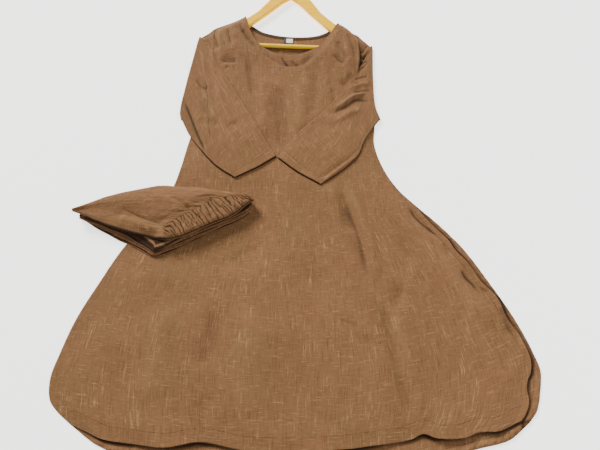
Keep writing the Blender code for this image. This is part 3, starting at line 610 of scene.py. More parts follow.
def outward_normals(obj: Object) -> None:
    """Turn a closed mesh's faces outwards.

    Args:
        obj: the piece.
    """
    bpy.ops.object.select_all(action="DESELECT")
    bpy.context.view_layer.objects.active = obj
    obj.select_set(True)
    bpy.ops.object.mode_set(mode="EDIT")
    bpy.ops.mesh.select_all(action="SELECT")
    bpy.ops.mesh.normals_make_consistent(inside=False)
    bpy.ops.object.mode_set(mode="OBJECT")
    obj.select_set(False)


def lofted(name: str, rings: list[Array], uvs: list[Array], painted_light: Array) -> Object:
    """A tube through closed rings, with flat ends.

    Args:
        name: the piece's name.
        rings: the points of each ring.
        uvs: their places on the cut cloth.
        painted_light: painted shade of each point, below 0 for a painted highlight.

    Returns:
        The new object.
    """
    count, size = len(rings), len(rings[0])
    ends = [tuple(reversed(range(size))), tuple(range((count - 1) * size, count * size))]
    obj = link_mesh(name, np.vstack(rings), ring_faces(count, size) + ends)
    add_uv(obj, np.vstack(uvs))
    add_mark(obj, "painted_light", painted_light)
    outward_normals(obj)
    return obj


def linear(hex_colour: str) -> tuple[float, float, float, float]:
    """Linear colour of an sRGB hex value.

    Args:
        hex_colour: such as #7F593A.

    Returns:
        Red, green, blue and 1.
    """
    channels = [int(hex_colour[i:i + 2], 16) / 255 for i in (1, 3, 5)]
    turned = [c / 12.92 if c <= 0.04045 else ((c + 0.055) / 1.055) ** 2.4 for c in channels]
    return (*turned, 1.0)


def set_inputs(tree: Tree, node: Node, **inputs: object) -> None:
    """Give a node's inputs their values and links.

    Args:
        tree: the material's node tree.
        node: the node.
        inputs: value, output socket or node of each input; a space in a name is written as _,
            and _0 is the first input.
    """
    for key, value in inputs.items():
        place = int(key[1:]) if key[1:].isdigit() else key.replace("_", " ")
        if isinstance(value, Node):
            value = value.outputs[0]
        if isinstance(value, Socket):
            tree.links.new(value, node.inputs[place])
        else:
            node.inputs[place].default_value = value


def add_node(tree: Tree, kind: str, settings: dict | None = None, **inputs: object) -> Node:
    """Add a node with its settings and its inputs.

    Args:
        tree: the material's node tree.
        kind: the node's type, without ShaderNode.
        settings: properties of the node.
        inputs: what set_inputs takes.

    Returns:
        The new node.
    """
    node = tree.nodes.new(f"ShaderNode{kind}")
    for key, value in (settings or {}).items():
        setattr(node, key, value)
    set_inputs(tree, node, **inputs)
    return node


def new_material(name: str) -> tuple[Material, Tree, Node]:
    """A material with its tree and its shader.

    Args:
        name: its name.

    Returns:
        The material, its tree and its shader.
    """
    material = bpy.data.materials.new(name)
    material.use_nodes = True
    return material, material.node_tree, material.node_tree.nodes["Principled BSDF"]


def laid_over(tree: Tree, under: object, share: object, strength: float, colour: str) -> Socket:
    """A colour laid over what is there.

    Args:
        tree: the material's node tree.
        under: colour of what is there.
        share: where the new colour shows.
        strength: how much of it shows there.
        colour: its sRGB hex value.

    Returns:
        The colour of both.
    """
    shown = add_node(tree, "Math", {"operation": "MULTIPLY"}, _0=share, _1=strength)
    mix = add_node(tree, "Mix", {"data_type": "RGBA"}, _0=shown, _6=under, _7=linear(colour))
    return mix.outputs[2]


def wave_scale(spacing_mm: float) -> float:
    """Scale at which a Wave texture's bands are so far apart on a map in metres."""
    # Its bands are the sine of 20 times the coordinate
    return 2.0 * math.pi * 1000.0 / spacing_mm / 20.0


@dataclass(frozen=True)
class Grain:
    """Streaks of noise by their real size, with the noise levels between which they show."""

    across_mm: float
    along_mm: float
    low: float = 0.0
    high: float = 1.0
    seed: float = 0.0
    turn: float = 0.0

    def noise(self, tree: Tree, place: object) -> Node:
        """The bare noise, on a place in metres.

        Args:
            tree: the material's node tree.
            place: coordinates in metres.

        Returns:
            The noise texture.
        """
        mapping = add_node(
            tree, "Mapping", None, Vector=place, Rotation=(0.0, 0.0, self.turn),
            Scale=(1000.0 / self.across_mm, 1000.0 / self.along_mm, 1.0),
            Location=(self.seed, self.seed * 1.7, self.seed * 0.3),
        )
        return add_node(
            tree, "TexNoise", {"noise_dimensions": "3D"},
            Vector=mapping, Scale=1.0, Detail=2.0, Roughness=0.55,
        )

    def share(self, tree: Tree, place: object) -> Node:
        """Share of streak at a place, from 0 to 1."""
        return add_node(
            tree, "MapRange", {"interpolation_type": "SMOOTHSTEP"},
            Value=self.noise(tree, place), From_Min=self.low, From_Max=self.high,
        )


@dataclass(frozen=True)
class SlubCotton:
    """Plain-woven slub cotton, piece dyed: matte, with uneven lighter threads both ways.

    Two marks on the mesh are read: one that lays painted shade in creases, crevices and under
    edges and a painted highlight on ridges, and sewn, which places the row of stitches.
    """

    name: str
    ground: str = "#7F593A"
    olive: str = "#785636"
    # Colour of the slubs, and of the painted highlight on ridges
    slub: str = "#B08A60"
    shade: str = "#5E4029"
    # Colour of the painted shade in creases, crevices and under edges, and of the stitches
    shade_and_stitch: str = "#160B06"
    warp_share: float = 0.66
    weft_share: float = 0.44
    dark_share: float = 0.62
    cross_share: float = 0.44
    painted_shade_share: float = 0.92
    painted_highlight_share: float = 0.26
    stitch_share: float = 0.36
    # Threads are about 0.45 mm apart; drawn at 1.1 mm so that the weave shows
    thread_mm: float = 1.1
    # Slubs are 1 to 2 mm thick; drawn at 2.1 mm for the same reason
    slub_mm: float = 2.1
    slub_length_mm: float = 26.0
    # Stitches of a lockstitch are about 3 mm long
    stitch_mm: float = 3.0
    stitch_half_mm: float = 0.7
    roughness: float = 0.92
    sheen: float = 0.06

    def build(self) -> Material:
        """The material, on the piece's own cloth map."""
        material, tree, shader = new_material(self.name)
        place = add_node(tree, "UVMap", {"uv_map": "cloth"})
        wide, long = self.slub_mm, self.slub_length_mm
        broad = Grain(110.0, 170.0, 0.36, 0.64, 3.0, turn=0.4).share(tree, place)
        patchy = Grain(24.0, 60.0, 0.30, 0.70, 11.0, turn=0.1).share(tree, place)
        warp = Grain(wide, long, 0.52, 0.76, 5.0).share(tree, place)
        weft = Grain(long * 0.7, wide, 0.54, 0.78, 8.0).share(tree, place)
        dark = Grain(wide * 1.1, long * 1.4, 0.48, 0.72, 17.0).share(tree, place)
        cross = Grain(long, wide * 1.2, 0.50, 0.74, 23.0).share(tree, place)
        uneven = add_node(tree, "Math", {"operation": "MULTIPLY"}, _0=warp, _1=patchy)
        slubs = add_node(tree, "Math", {"operation": "MAXIMUM"}, _0=warp, _1=weft)
        # Painted highlight on ridges and painted shade in creases, from the mesh's mark
        painted_highlight, valley = self._painted_crease_light(tree)
        stitches = self._stitches(tree, place)
        body = linear(self.ground)
        for share, strength, colour in (
            (broad, 1.0, self.olive), (dark, self.dark_share, self.shade),
            (cross, self.cross_share, self.shade), (uneven, self.warp_share, self.slub),
            (weft, self.weft_share, self.slub), (painted_highlight, self.painted_highlight_share, self.slub),
            (valley, self.painted_shade_share, self.shade_and_stitch), (stitches, self.stitch_share, self.shade_and_stitch),
        ):
            body = laid_over(tree, body, share, strength, colour)
        set_inputs(
            tree, shader, Base_Color=body, Roughness=self.roughness, Sheen_Weight=self.sheen,
            Sheen_Roughness=0.6, Sheen_Tint=linear(self.slub), Specular_IOR_Level=0.2,
            Normal=self._weave(tree, place, slubs, stitches),
        )
        return material

    def _painted_crease_light(self, tree: Tree) -> list[Node]:
        """Shares of painted highlight and of painted shade, from the mesh's mark.

        Args:
            tree: the material's node tree.

        Returns:
            The two shares.
        """
        painted_light = add_node(tree, "Attribute", {"attribute_name": "painted_light"}).outputs["Fac"]
        shares = []
        for sign, full in ((-1.0, 0.9), (1.0, 1.0)):
            depth = add_node(tree, "Math", {"operation": "MULTIPLY"}, _0=painted_light, _1=sign)
            shares.append(add_node(
                tree, "MapRange", {"interpolation_type": "SMOOTHSTEP"},
                Value=depth, From_Min=0.05, From_Max=full,
            ))
        return shares

    def _stitches(self, tree: Tree, place: Node) -> Node:
        """Share of stitch: a broken line where the sewn mark is one.

        Args:
            tree: the material's node tree.
            place: the cloth map.

        Returns:
            1 in a stitch's dent and 0 away from it.
        """
        sewn = add_node(tree, "Attribute", {"attribute_name": "sewn"}).outputs["Fac"]
        offset = add_node(tree, "Math", {"operation": "SUBTRACT"}, _0=sewn, _1=1.0)
        away = add_node(tree, "Math", {"operation": "ABSOLUTE"}, _0=offset)
        near = add_node(
            tree, "MapRange", {"interpolation_type": "SMOOTHSTEP"}, Value=away,
            From_Min=self.stitch_half_mm * 0.4, From_Max=self.stitch_half_mm, To_Min=1.0, To_Max=0.0,
        )
        gaps = Grain(self.stitch_mm, self.stitch_mm, 0.38, 0.52, 31.0).share(tree, place)
        return add_node(tree, "Math", {"operation": "MULTIPLY"}, _0=near, _1=gaps)

    def _weave(self, tree: Tree, place: Node, slubs: Node, stitches: Node) -> Node:
        """Raise the threads and slubs by bump, and press the stitches in.

        Args:
            tree: the material's node tree.
            place: the cloth map.
            slubs: share of slub.
            stitches: share of stitch.

        Returns:
            The bump.
        """
        # In a plain weave every second thread lies on top
        threads = [
            add_node(
                tree, "TexWave", {"wave_type": "BANDS", "bands_direction": direction},
                Vector=place, Scale=wave_scale(2.0 * self.thread_mm), Distortion=0.6, Detail=1.0,
            ).outputs["Fac"]
            for direction in ("X", "Y")
        ]
        height = add_node(tree, "Math", {"operation": "MULTIPLY"}, _0=threads[0], _1=threads[1])
        for share, strength in ((stitches, -2.0), (slubs, 1.6)):
            height = add_node(
                tree, "Math", {"operation": "MULTIPLY_ADD"}, _0=share, _1=strength, _2=height,
            )
        return add_node(tree, "Bump", None, Strength=0.6, Distance=0.0005, Height=height)


@dataclass(frozen=True)
class WovenTape:
    """Woven satin tape of a garment label: smooth, with fine ribs along one way."""

    name: str
    colour: str
    lint: str = "#8D8A84"
    # Ribs are about 0.3 mm apart; drawn at 1.8 mm so that they show
    rib_mm: float = 1.8
    roughness: float = 0.55

    def build(self) -> Material:
        """The material, on the piece's own cloth map."""
        material, tree, shader = new_material(self.name)
        place = add_node(tree, "UVMap", {"uv_map": "cloth"})
        ribs = add_node(
            tree, "TexWave", {"wave_type": "BANDS", "bands_direction": "Y"},
            Vector=place, Scale=wave_scale(self.rib_mm),
        ).outputs["Fac"]
        lint = Grain(2.0, 5.0, 0.3, 0.8, 2.0).share(tree, place)
        bump = add_node(tree, "Bump", None, Strength=0.4, Distance=0.0002, Height=ribs)
        body = laid_over(tree, linear(self.colour), lint, 0.25, self.lint)
        set_inputs(tree, shader, Base_Color=body, Roughness=self.roughness, Normal=bump)
        return material


@dataclass(frozen=True)
class LacqueredWood:
    """Beech under yellow lacquer: clear coat over a tint that keeps some of the grain."""

    name: str
    turn: float
    tint: str = "#FFCC00"
    grain: str = "#FBB400"
    fleck: str = "#CC8410"
    # Rings of beech are 2 to 3 mm apart
    ring_mm: float = 2.6
    length_mm: float = 60.0

    def build(self) -> Material:
        """The material, with the grain turned along the piece."""
        material, tree, shader = new_material(self.name)
        place = add_node(tree, "TexCoord").outputs["Object"]
        rings = Grain(self.length_mm, self.ring_mm, 0.35, 0.7, 4.0, self.turn)
        flecks = Grain(5.0, 0.8, 0.6, 0.75, 9.0, self.turn)
        body = laid_over(tree, linear(self.tint), rings.share(tree, place), 1.0, self.grain)
        body = laid_over(tree, body, flecks.share(tree, place), 0.35, self.fleck)
        bump = add_node(
            tree, "Bump", None, Strength=0.2, Distance=0.0003, Height=rings.noise(tree, place),
        )
        set_inputs(
            tree, shader, Base_Color=body, Roughness=0.55, Specular_IOR_Level=0.15,
            Coat_Weight=0.03, Coat_Roughness=0.3, Normal=bump,
        )
        return material


@dataclass(frozen=True)
class PlatedWire:
    """Steel wire with bright zinc plating and fine scuffs."""

    name: str
    colour: str = "#C9CACC"
    scuffed: str = "#9FA1A4"

    def build(self) -> Material:
        """The material, on Object coordinates."""
        material, tree, shader = new_material(self.name)
        place = add_node(tree, "TexCoord").outputs["Object"]
        scuffs = Grain(1.2, 3.0, 0.4, 0.8, 6.0, 0.3)
        body = laid_over(tree, linear(self.colour), scuffs.share(tree, place), 1.0, self.scuffed)
        rough = add_node(
            tree, "MapRange", None, Value=scuffs.noise(tree, place), To_Min=0.22, To_Max=0.42,
        )
        set_inputs(tree, shader, Base_Color=body, Roughness=rough, Metallic=1.0)
        return material


@dataclass(frozen=True)
class PaleFloor:
    """Matte white paper on a light table."""

    name: str = "pale_floor"
    colour: str = "#F7F6F4"
    # A light table's faint glow keeps the paper white, as in the photograph
    glow: float = 1.8

    def build(self) -> Material:
        """The material, with a faint tooth."""
        material, tree, shader = new_material(self.name)
        place = add_node(tree, "TexCoord").outputs["Object"]
        tooth = Grain(3.0, 3.0, seed=1.0).noise(tree, place)
        bump = add_node(tree, "Bump", None, Strength=0.05, Distance=0.0003, Height=tooth)
        white = linear(self.colour)
        set_inputs(
            tree, shader, Base_Color=white, Roughness=0.95, Emission_Color=white,
            Emission_Strength=self.glow, Normal=bump,
        )
        return material


def dress(obj: Object, material: Material) -> None:
    """Give an object its one material."""
    obj.data.materials.clear()
    obj.data.materials.append(material)


def shell(
    name: str, x: Array, y: Array, top: Array, under: Array, uv: Array,
    painted_light: Array | None = None, sewn: Array | None = None,
) -> Object:
    """A closed thin shell: a fine face, and an underside of every second point.

    Args:
        name: the piece's name.
        x: plan x, an odd number of rows and columns.
        y: plan y.
        top: height of the face.
        under: height of the underside.
        uv: place of each point on the cut cloth.
        painted_light: painted shade of each point, below 0 for a painted highlight.
        sewn: distance from the stitch line in mm, plus one.

    Returns:
        The new object.
    """
    rows, columns = x.shape
    upper = np.stack([x, y, top], axis=-1).reshape(-1, 3)
    lower = np.stack([x, y, under], axis=-1)[::2, ::2]
    low_rows, low_columns = lower.shape[:2]
    start = len(upper)
    faces = grid_faces(rows, columns) + grid_faces(low_rows, low_columns, start, flip=True)
    rim = rim_indices(rows, columns)
    low_rim = [start + i for i in rim_indices(low_rows, low_columns)]
    for i, p in enumerate(low_rim):
        a, m, b = rim[2 * i], rim[2 * i + 1], rim[(2 * i + 2) % len(rim)]
        q = low_rim[(i + 1) % len(low_rim)]
        faces += [(a, m, p), (m, b, q), (m, q, p)]
    obj = link_mesh(name, np.vstack([upper, lower.reshape(-1, 3)]), faces)
    low_uv = uv.reshape(rows, columns, 2)[::2, ::2].reshape(-1, 2)
    add_uv(obj, np.vstack([uv.reshape(-1, 2), low_uv]))
    if painted_light is not None:
        add_mark(obj, "painted_light", np.concatenate([painted_light.ravel(), np.zeros(low_rows * low_columns)]))
    if sewn is not None:
        add_mark(obj, "sewn", np.concatenate([sewn.ravel(), sewn[::2, ::2].ravel()]))
    return obj


def on_rim(grid: Array) -> Array:
    """1 round a grid's edge and 0 inside it.

    Args:
        grid: an array of the grid's size.

    Returns:
        The marks.
    """
    edge = np.ones_like(grid)
    edge[1:-1, 1:-1] = 0.0
    return edge


def spaced(count: int, edge: float = 0.0015) -> Array:
    """Fractions from 0 to 1 with three close ones at each end; the count comes out odd.

    Args:
        count: about how many.
        edge: the first step.

    Returns:
        The fractions.
    """
    ends = np.array([0.0, edge, 2.6 * edge])
    middle = np.linspace(5.0 * edge, 1.0 - 5.0 * edge, count - 6 + (count + 1) % 2)
    return np.concatenate([ends, middle, 1.0 - ends[::-1]])


def crowded(count: int, busy: Points) -> Array:
    """Fractions as spaced gives them, closer together in some stretches.

    Args:
        count: how many.
        busy: start, end and how many times closer, a row for each stretch.

    Returns:
        The fractions from 0 to 1.
    """
    ticks = np.linspace(0.0, 1.0, 401)
    density = np.ones_like(ticks)
    for start, end, times in busy:
        stretch = window((start - 0.04, start + 0.04), (end - 0.04, end + 0.04), ticks)
        density += (times - 1.0) * stretch
    reach = np.concatenate([[0.0], np.cumsum((density[1:] + density[:-1]) / 2.0)])
    return np.interp(spaced(count), reach / reach[-1], ticks)


# Edges from the shoulder tip down to the hem corner: distance below the high shoulder
# point, then distance out from the centre line
LEFT_EDGE = metres(
    (41, 244), (125, 241), (215, 236), (305, 246), (365, 267), (432, 281), (505, 293), (560, 307),
    (600, 331), (665, 370), (715, 402), (785, 436), (870, 473), (940, 492), (990, 501), (1030, 492.5),
    (1048, 476.7), (1066, 453.4), (1083, 428.4),
)
RIGHT_EDGE = metres(
    (65, 164), (145, 163), (225, 158), (310, 168), (360, 190), (432, 186), (505, 205), (560, 235),
    (600, 270), (665, 331), (715, 370), (785, 410), (870, 453), (940, 478), (975, 485), (1011, 477),
    (1048, 463), (1066, 447.6), (1083, 426.4),
)
# Where the side slit opens, below the high shoulder point
SLIT_TOP = 0.594
FRONT_SLIT_EDGE = metres(
    (594, 262), (625, 284), (665, 313), (690, 334), (715, 347), (750, 374), (785, 393), (830, 426),
    (870, 437), (905, 456), (940, 467), (955, 469), (980, 463), (994, 454), (1013, 449), (1030, 449),
    (1056.5, 436), (1067, 426),
)
# Edges by x and distance below the high shoulder point
BACK_HEM = metres(
    (-428.4, 1083), (-384, 1110), (-320, 1131), (-200, 1143), (0, 1147), (200, 1143), (260, 1133),
    (337, 1116), (400, 1100.7), (426.4, 1083),
)
FRONT_HEM = metres(
    (-440, 1074), (-410, 1086), (-375, 1099), (-320, 1107), (-250, 1113), (-192, 1104), (-100, 1119),
    (100, 1115), (130, 1111), (210, 1100), (235, 1090), (256, 1097), (310, 1097), (341, 1087.5),
    (380, 1085), (426, 1067),
)
LEFT_SHOULDER = metres((-244, 41), (-157, 0))
RIGHT_SHOULDER = metres((110, 26), (122, 33), (136, 45), (155, 61), (164, 65))
BACK_NECK = metres(
    (-157, 0), (-138, 25), (-106, 51), (-74.5, 62), (-29, 70), (22, 70), (53, 64), (74, 53.4),
    (92, 40), (110, 26),
)
FRONT_NECK = metres(
    (-157, 0), (-137, 68), (-112, 110), (-70, 139), (-28, 148), (15, 140), (55, 115), (83, 75),
    (110, 26),
)
# Share of the top edge that each shoulder takes
SHOULDER_SHARE = 0.16


def edge_path(rows: Points) -> SmoothPath:
    """Smooth edge through rows of x and distance below."""
    return SmoothPath(below_to_plan(rows))


def side_rows(rows: Points, side: int, end: float = 2.0, inset: float = 0.0) -> list[tuple[float, float]]:
    """A side edge's rows as x and distance below; side is -1 on the left, 1 on the right."""
    return [(side * (out - inset), below) for below, out in rows if below <= end]


def top_edge(neck: Points) -> JoinedPath:
    """Shoulder, neckline and shoulder as one edge."""
    return JoinedPath((
        (0.0, edge_path(LEFT_SHOULDER)),
        (SHOULDER_SHARE, edge_path(neck)),
        (1.0 - SHOULDER_SHARE, edge_path(RIGHT_SHOULDER)),
    ))


SHOULDER_LEFT_CREASES: tuple[Crease, ...] = (
    # Valley beside the hanger's arm, and the ridge past it
    pinch(8.5, -4.8, (236, 22), (241, 29), (248, 38), (257, 49), level_mm=14),
    soft(8, 1.8, (244, 20), (251, 31), (259, 43), level_mm=14),
    soft(4, 2.2, (232, 32), (236, 39), level_mm=14),
    # Puckers that run down from the shoulder seam
    pinch(4, -3, (228, 27), (229, 36), (232, 48), level_mm=12),
    pinch(3.8, -2.2, (221, 32), (223, 40), (226, 49), level_mm=12),
    pinch(4, -2.6, (213, 32), (216, 41), (219, 51), level_mm=10),
    pinch(3.8, -1.8, (207, 37), (210, 44), (214, 52), level_mm=10),
    soft(4.5, 1.4, (225, 30), (227, 40), (229, 49), level_mm=12),
    soft(4.5, 1.4, (217, 33), (220, 43), (222, 51), level_mm=10),
    # Creases across at the front of the armhole
    pinch(5.5, -3.6, (221, 60), (229, 62), (238, 61), level_mm=8),
    soft(4.5, 1.6, (223, 64), (231, 65), (238, 65), level_mm=8),
    pinch(3.8, -3, (224, 69), (227, 67), (231, 66), level_mm=8),
)
SHOULDER_RIGHT_CREASES: tuple[Crease, ...] = (
    soft(8, -3, (337, 42), (341, 50), (347, 57), (352, 62), level_mm=10),
    pinch(5.5, -3.2, (333, 55), (338, 60), (346, 64), level_mm=10),
    soft(5, 1.8, (345, 50), (348, 56), (350, 63), level_mm=10),
    soft(6, -2.6, (345, 33), (350, 40), (353, 50), (356, 60), level_mm=12),
    soft(10, -3, (354, 72), (348, 80), (341, 88), level_mm=8),
    soft(8, 2.4, (321, 62), (325, 74), (329, 86)),
    pinch(5.5, -2, (318, 66), (322, 73), (327, 80)),
    soft(8, -1.8, (331, 88), (334, 98), (333, 106)),
)
FRONT_CREASES: tuple[Crease, ...] = (
    *SHOULDER_LEFT_CREASES,
    *SHOULDER_RIGHT_CREASES,
    # Soft valley down the middle of the bodice, with a ridge on either side
    soft(14, -5, (279, 84), (281, 105), (283, 128), (282, 152)),
    soft(13, 2.6, (298, 80), (301, 105), (300, 135)),
    soft(14, 2, (262, 75), (264, 105), (262, 140)),
    soft(9, -2, (246, 60), (251, 78), (253, 100)),
    soft(12, -1.6, (312, 70), (316, 92), (313, 118)),
    # Edge of the front neck's facing, and the small puckers in it
    soft(4.5, -2, (258, 50), (270, 59), (287, 66), (303, 65), (318, 56)),
    pinch(3.4, -3, (281, 57), (284, 62), (289, 67)),
    pinch(3.4, -2.4, (291, 61), (294, 64), (299, 66)),
    pinch(4, -2.2, (300, 64), (307, 61), (313, 57)),
    soft(3.4, 1.6, (286, 60), (290, 64)),
    # Folds of the skirt
    pinch(6, -4, (337, 180), (343, 198), (350, 216), (357, 234), (364, 262), (369, 285)),
    soft(9, -3.4, (336, 192), (343, 212), (351, 232)),
    soft(11, 3.8, (347, 182), (355, 202), (363, 224), (371, 250), (378, 284)),
    pinch(5, -2.6, (336, 319), (347, 322), (360, 327)),
    soft(10, -3.8, (382, 300), (388, 335), (396, 372), (412, 422)),
    soft(12, 3, (394, 305), (401, 340), (410, 375), (425, 420)),
    soft(8, -4.4, (401, 286), (398, 296), (394, 306)),
    soft(10, -2.2, (228, 262), (246, 250), (262, 246)),
    soft(18, 2.2, (300, 176), (330, 190), (352, 215)),
    soft(30, 3.6, (170, 300), (158, 350), (150, 410)),
    soft(16, -2.6, (215, 306), (210, 340), (200, 372)),
    soft(35, 3, (250, 300), (246, 360), (242, 430)),
    soft(10, -3, (205, 395), (200, 418), (202, 440)),
    # Beside the slit
    pinch(4.2, -4.6, (408, 204), (415, 217), (430, 230), (441, 238)),
    pinch(4.2, -3.4, (430, 238), (434, 248), (438, 263)),
    pinch(4.2, -2.6, (441, 241), (445, 248), (449, 258)),
    pinch(4.2, -4.4, (461, 267), (465, 277), (474, 286), (476, 294)),
    pinch(4, -2.8, (480, 286), (485, 290), (489, 293)),
    soft(9, -2, (399, 238), (406, 250), (412, 262)),
    soft(16, 4, (424, 236), (440, 262), (468, 300), (492, 330)),
    pinch(7.5, -4.6, (499, 303), (505, 318), (512, 336)),
)
SLEEVE_LEFT_CREASES: tuple[Crease, ...] = (
    *SHOULDER_LEFT_CREASES,
    # The upper layer ends along this line, and the lower one shows past it to the elbow
    lap(5.5, 3, (201, 47), (204, 68), (207, 88), (208, 112), (210, 134), (214, 154)),
    pinch(4.2, -4.4, (183, 97), (190, 116), (198, 136), (207, 156)),
    pinch(3.4, -2.6, (203, 70), (207, 90), (208, 112), (210, 134), (213, 152)),
    pinch(4.2, -2.6, (196, 79), (201, 87), (209, 90)),
    pinch(3.6, -1.2, (203, 133), (206, 140), (209, 148)),
    soft(10, -3, (226, 131), (238, 126), (252, 118)),
    soft(14, 1.8, (207, 76), (224, 104), (243, 138)),
    soft(8, -1.4, (220, 92), (232, 112), (247, 140)),
    soft(8, -1.8, (196, 124), (206, 122), (220, 128)),
)
SLEEVE_RIGHT_CREASES: tuple[Crease, ...] = (
    *SHOULDER_RIGHT_CREASES,
    pinch(5, -4.4, (354, 32), (358, 44), (361, 58), (359, 67), (351, 79), level_mm=10),
    # Twisted wrinkles at the top of the sleeve
    pinch(3.4, -3.2, (361, 53), (365, 47), (368, 42), level_mm=10),
    pinch(3.4, -3.2, (363, 59), (367, 53), (371, 49), level_mm=10),
    pinch(3.8, -3.2, (359, 66), (364, 62), (370, 60), level_mm=10),
    pinch(3.6, -2.8, (355, 73), (360, 68), (366, 66), level_mm=10),
    soft(3.4, 2.2, (362, 56), (366, 50), (369, 45), level_mm=10),
    soft(3.4, 2, (357, 70), (362, 65), (368, 62), level_mm=10),
    # Creases across the upper arm, and the long one that runs to the elbow
    pinch(4.2, -3.6, (353, 80), (360, 77), (369, 75), level_mm=10),
    pinch(3.6, -2.6, (350, 81), (355, 83), (360, 82), level_mm=10),
    pinch(4.6, -3.8, (350, 93), (359, 91), (373, 89), level_mm=10),
    soft(6, 2, (352, 87), (362, 84), (372, 83), level_mm=10),
    pinch(5, -4.6, (329, 117), (337, 112), (345, 109), (352, 104), (358, 101), (373, 102)),
    soft(6, 3.2, (333, 112), (345, 104), (356, 97), (368, 92)),
    soft(9, 2.4, (334, 124), (347, 116), (362, 110)),
    soft(9, -2.2, (312, 122), (324, 128), (338, 129)),
    # Ridge of the underarm seam
    pinch(3.4, -2.6, (317, 182), (338, 166), (358, 152)),
    soft(3.4, 1.6, (320, 185), (341, 169), (360, 155)),
)


@dataclass(frozen=True)
class SleeveShape:
    """Plan edges of a sleeve that leaves its armhole and folds back over the front."""

    side: int
    body_edge: Points
    armhole_end: float
    fold: Points
    crown: Points
    underarm: Points
    hem: Points
    creases: tuple[Crease, ...]


LEFT_SLEEVE = SleeveShape(
    side=-1,
    body_edge=LEFT_EDGE,
    armhole_end=0.342,
    fold=metres((-281, 75), (-290, 155), (-301.4, 258), (-306.4, 337), (-303, 357)),
    crown=metres((-281, 75), (-172, 268), (-59.5, 472)),
    underarm=metres(
        (-303, 357), (-282.4, 398), (-259, 432), (-241.5, 454.5), (-203.6, 495), (-155, 530),
    ),
    hem=metres((-59.5, 472), (-106, 503), (-155, 530)),
    creases=SLEEVE_LEFT_CREASES,
)
RIGHT_SLEEVE = SleeveShape(
    side=1,
    body_edge=RIGHT_EDGE,
    armhole_end=0.325,
    fold=metres((199, 109), (196, 155), (192.5, 224), (193.5, 325), (203, 357)),
    crown=metres((199, 109), (154, 205), (78.5, 317), (-9, 413), (-53.5, 476)),
    underarm=metres((203, 357), (188, 378), (159, 427), (141, 469), (48, 552)),
    hem=metres((-53.5, 476), (-12, 512), (48, 552)),
    creases=SLEEVE_RIGHT_CREASES,
)


@dataclass
class SleeveRing:
    """One ring of a sleeve, from seam to mouth.

    It holds the middle line, the way out of its outer side, the distance from the middle to
    both sides, the painted shade of each side, the painted shade at the line's end, and the stitches'
    mark.
    """

    middle: Array
    way: Array
    outer: Array
    inner: Array
    far: Array | float = 0.0
    near: Array | float = 0.0
    end_shade: float = 0.0
    sewn: float = 99.0

    def skin(self, inset: float, shadow_lip: float, mouth: Array | float) -> Array:
        """Points round the ring.

        Args:
            inset: how far inside the outer face.
            shadow_lip: how far the crease at the line's end stands out, as a painted shadow line.
            mouth: added to the near side.

        Returns:
            The points, one a row.
        """
        line = self.middle
        first, last = unit(np.array([line[0] - line[1], line[-1] - line[-2]]))
        far = np.maximum(self.outer - inset, 0.0001)[:, None] * self.way
        near = np.maximum(self.inner - inset, 0.0001)[:, None] * self.way
        reach = max(float(self.outer[0]) - inset, 0.0001)
        faces_up = float(self.way[0, 2]) > 0.9
        sink = -0.6 * float(self.inner[-1]) * UP if faces_up else 0.0
        return np.vstack([
            (line[0] + first * reach)[None], line + far,
            (line[-1] + last * (reach + shadow_lip) + sink)[None], (line - near)[::-1] + mouth,
        ])

    def map(self, run: float) -> Array:
        """Places of the ring's points on the cut cloth, run metres along the sleeve.

        Args:
            run: distance from the seam.

        Returns:
            Two positions for each point.
        """
        width = float(np.linalg.norm(self.middle[-1] - self.middle[0]))
        out = np.linspace(0.0, width, len(self.middle))
        places = np.concatenate([[0.0], out, [width], width + out])
        return np.column_stack([places + 7.0, np.full(len(places), run)])

    def painted_light(self) -> Array:
        """Painted shade of each of the ring's points.

        Returns:
            The marks, in the order of skin.
        """
        far, near = np.zeros((2, len(self.middle)))
        far, near = far + self.far, near + self.near
        return np.concatenate([far[:1], far, [self.end_shade], near[::-1]])


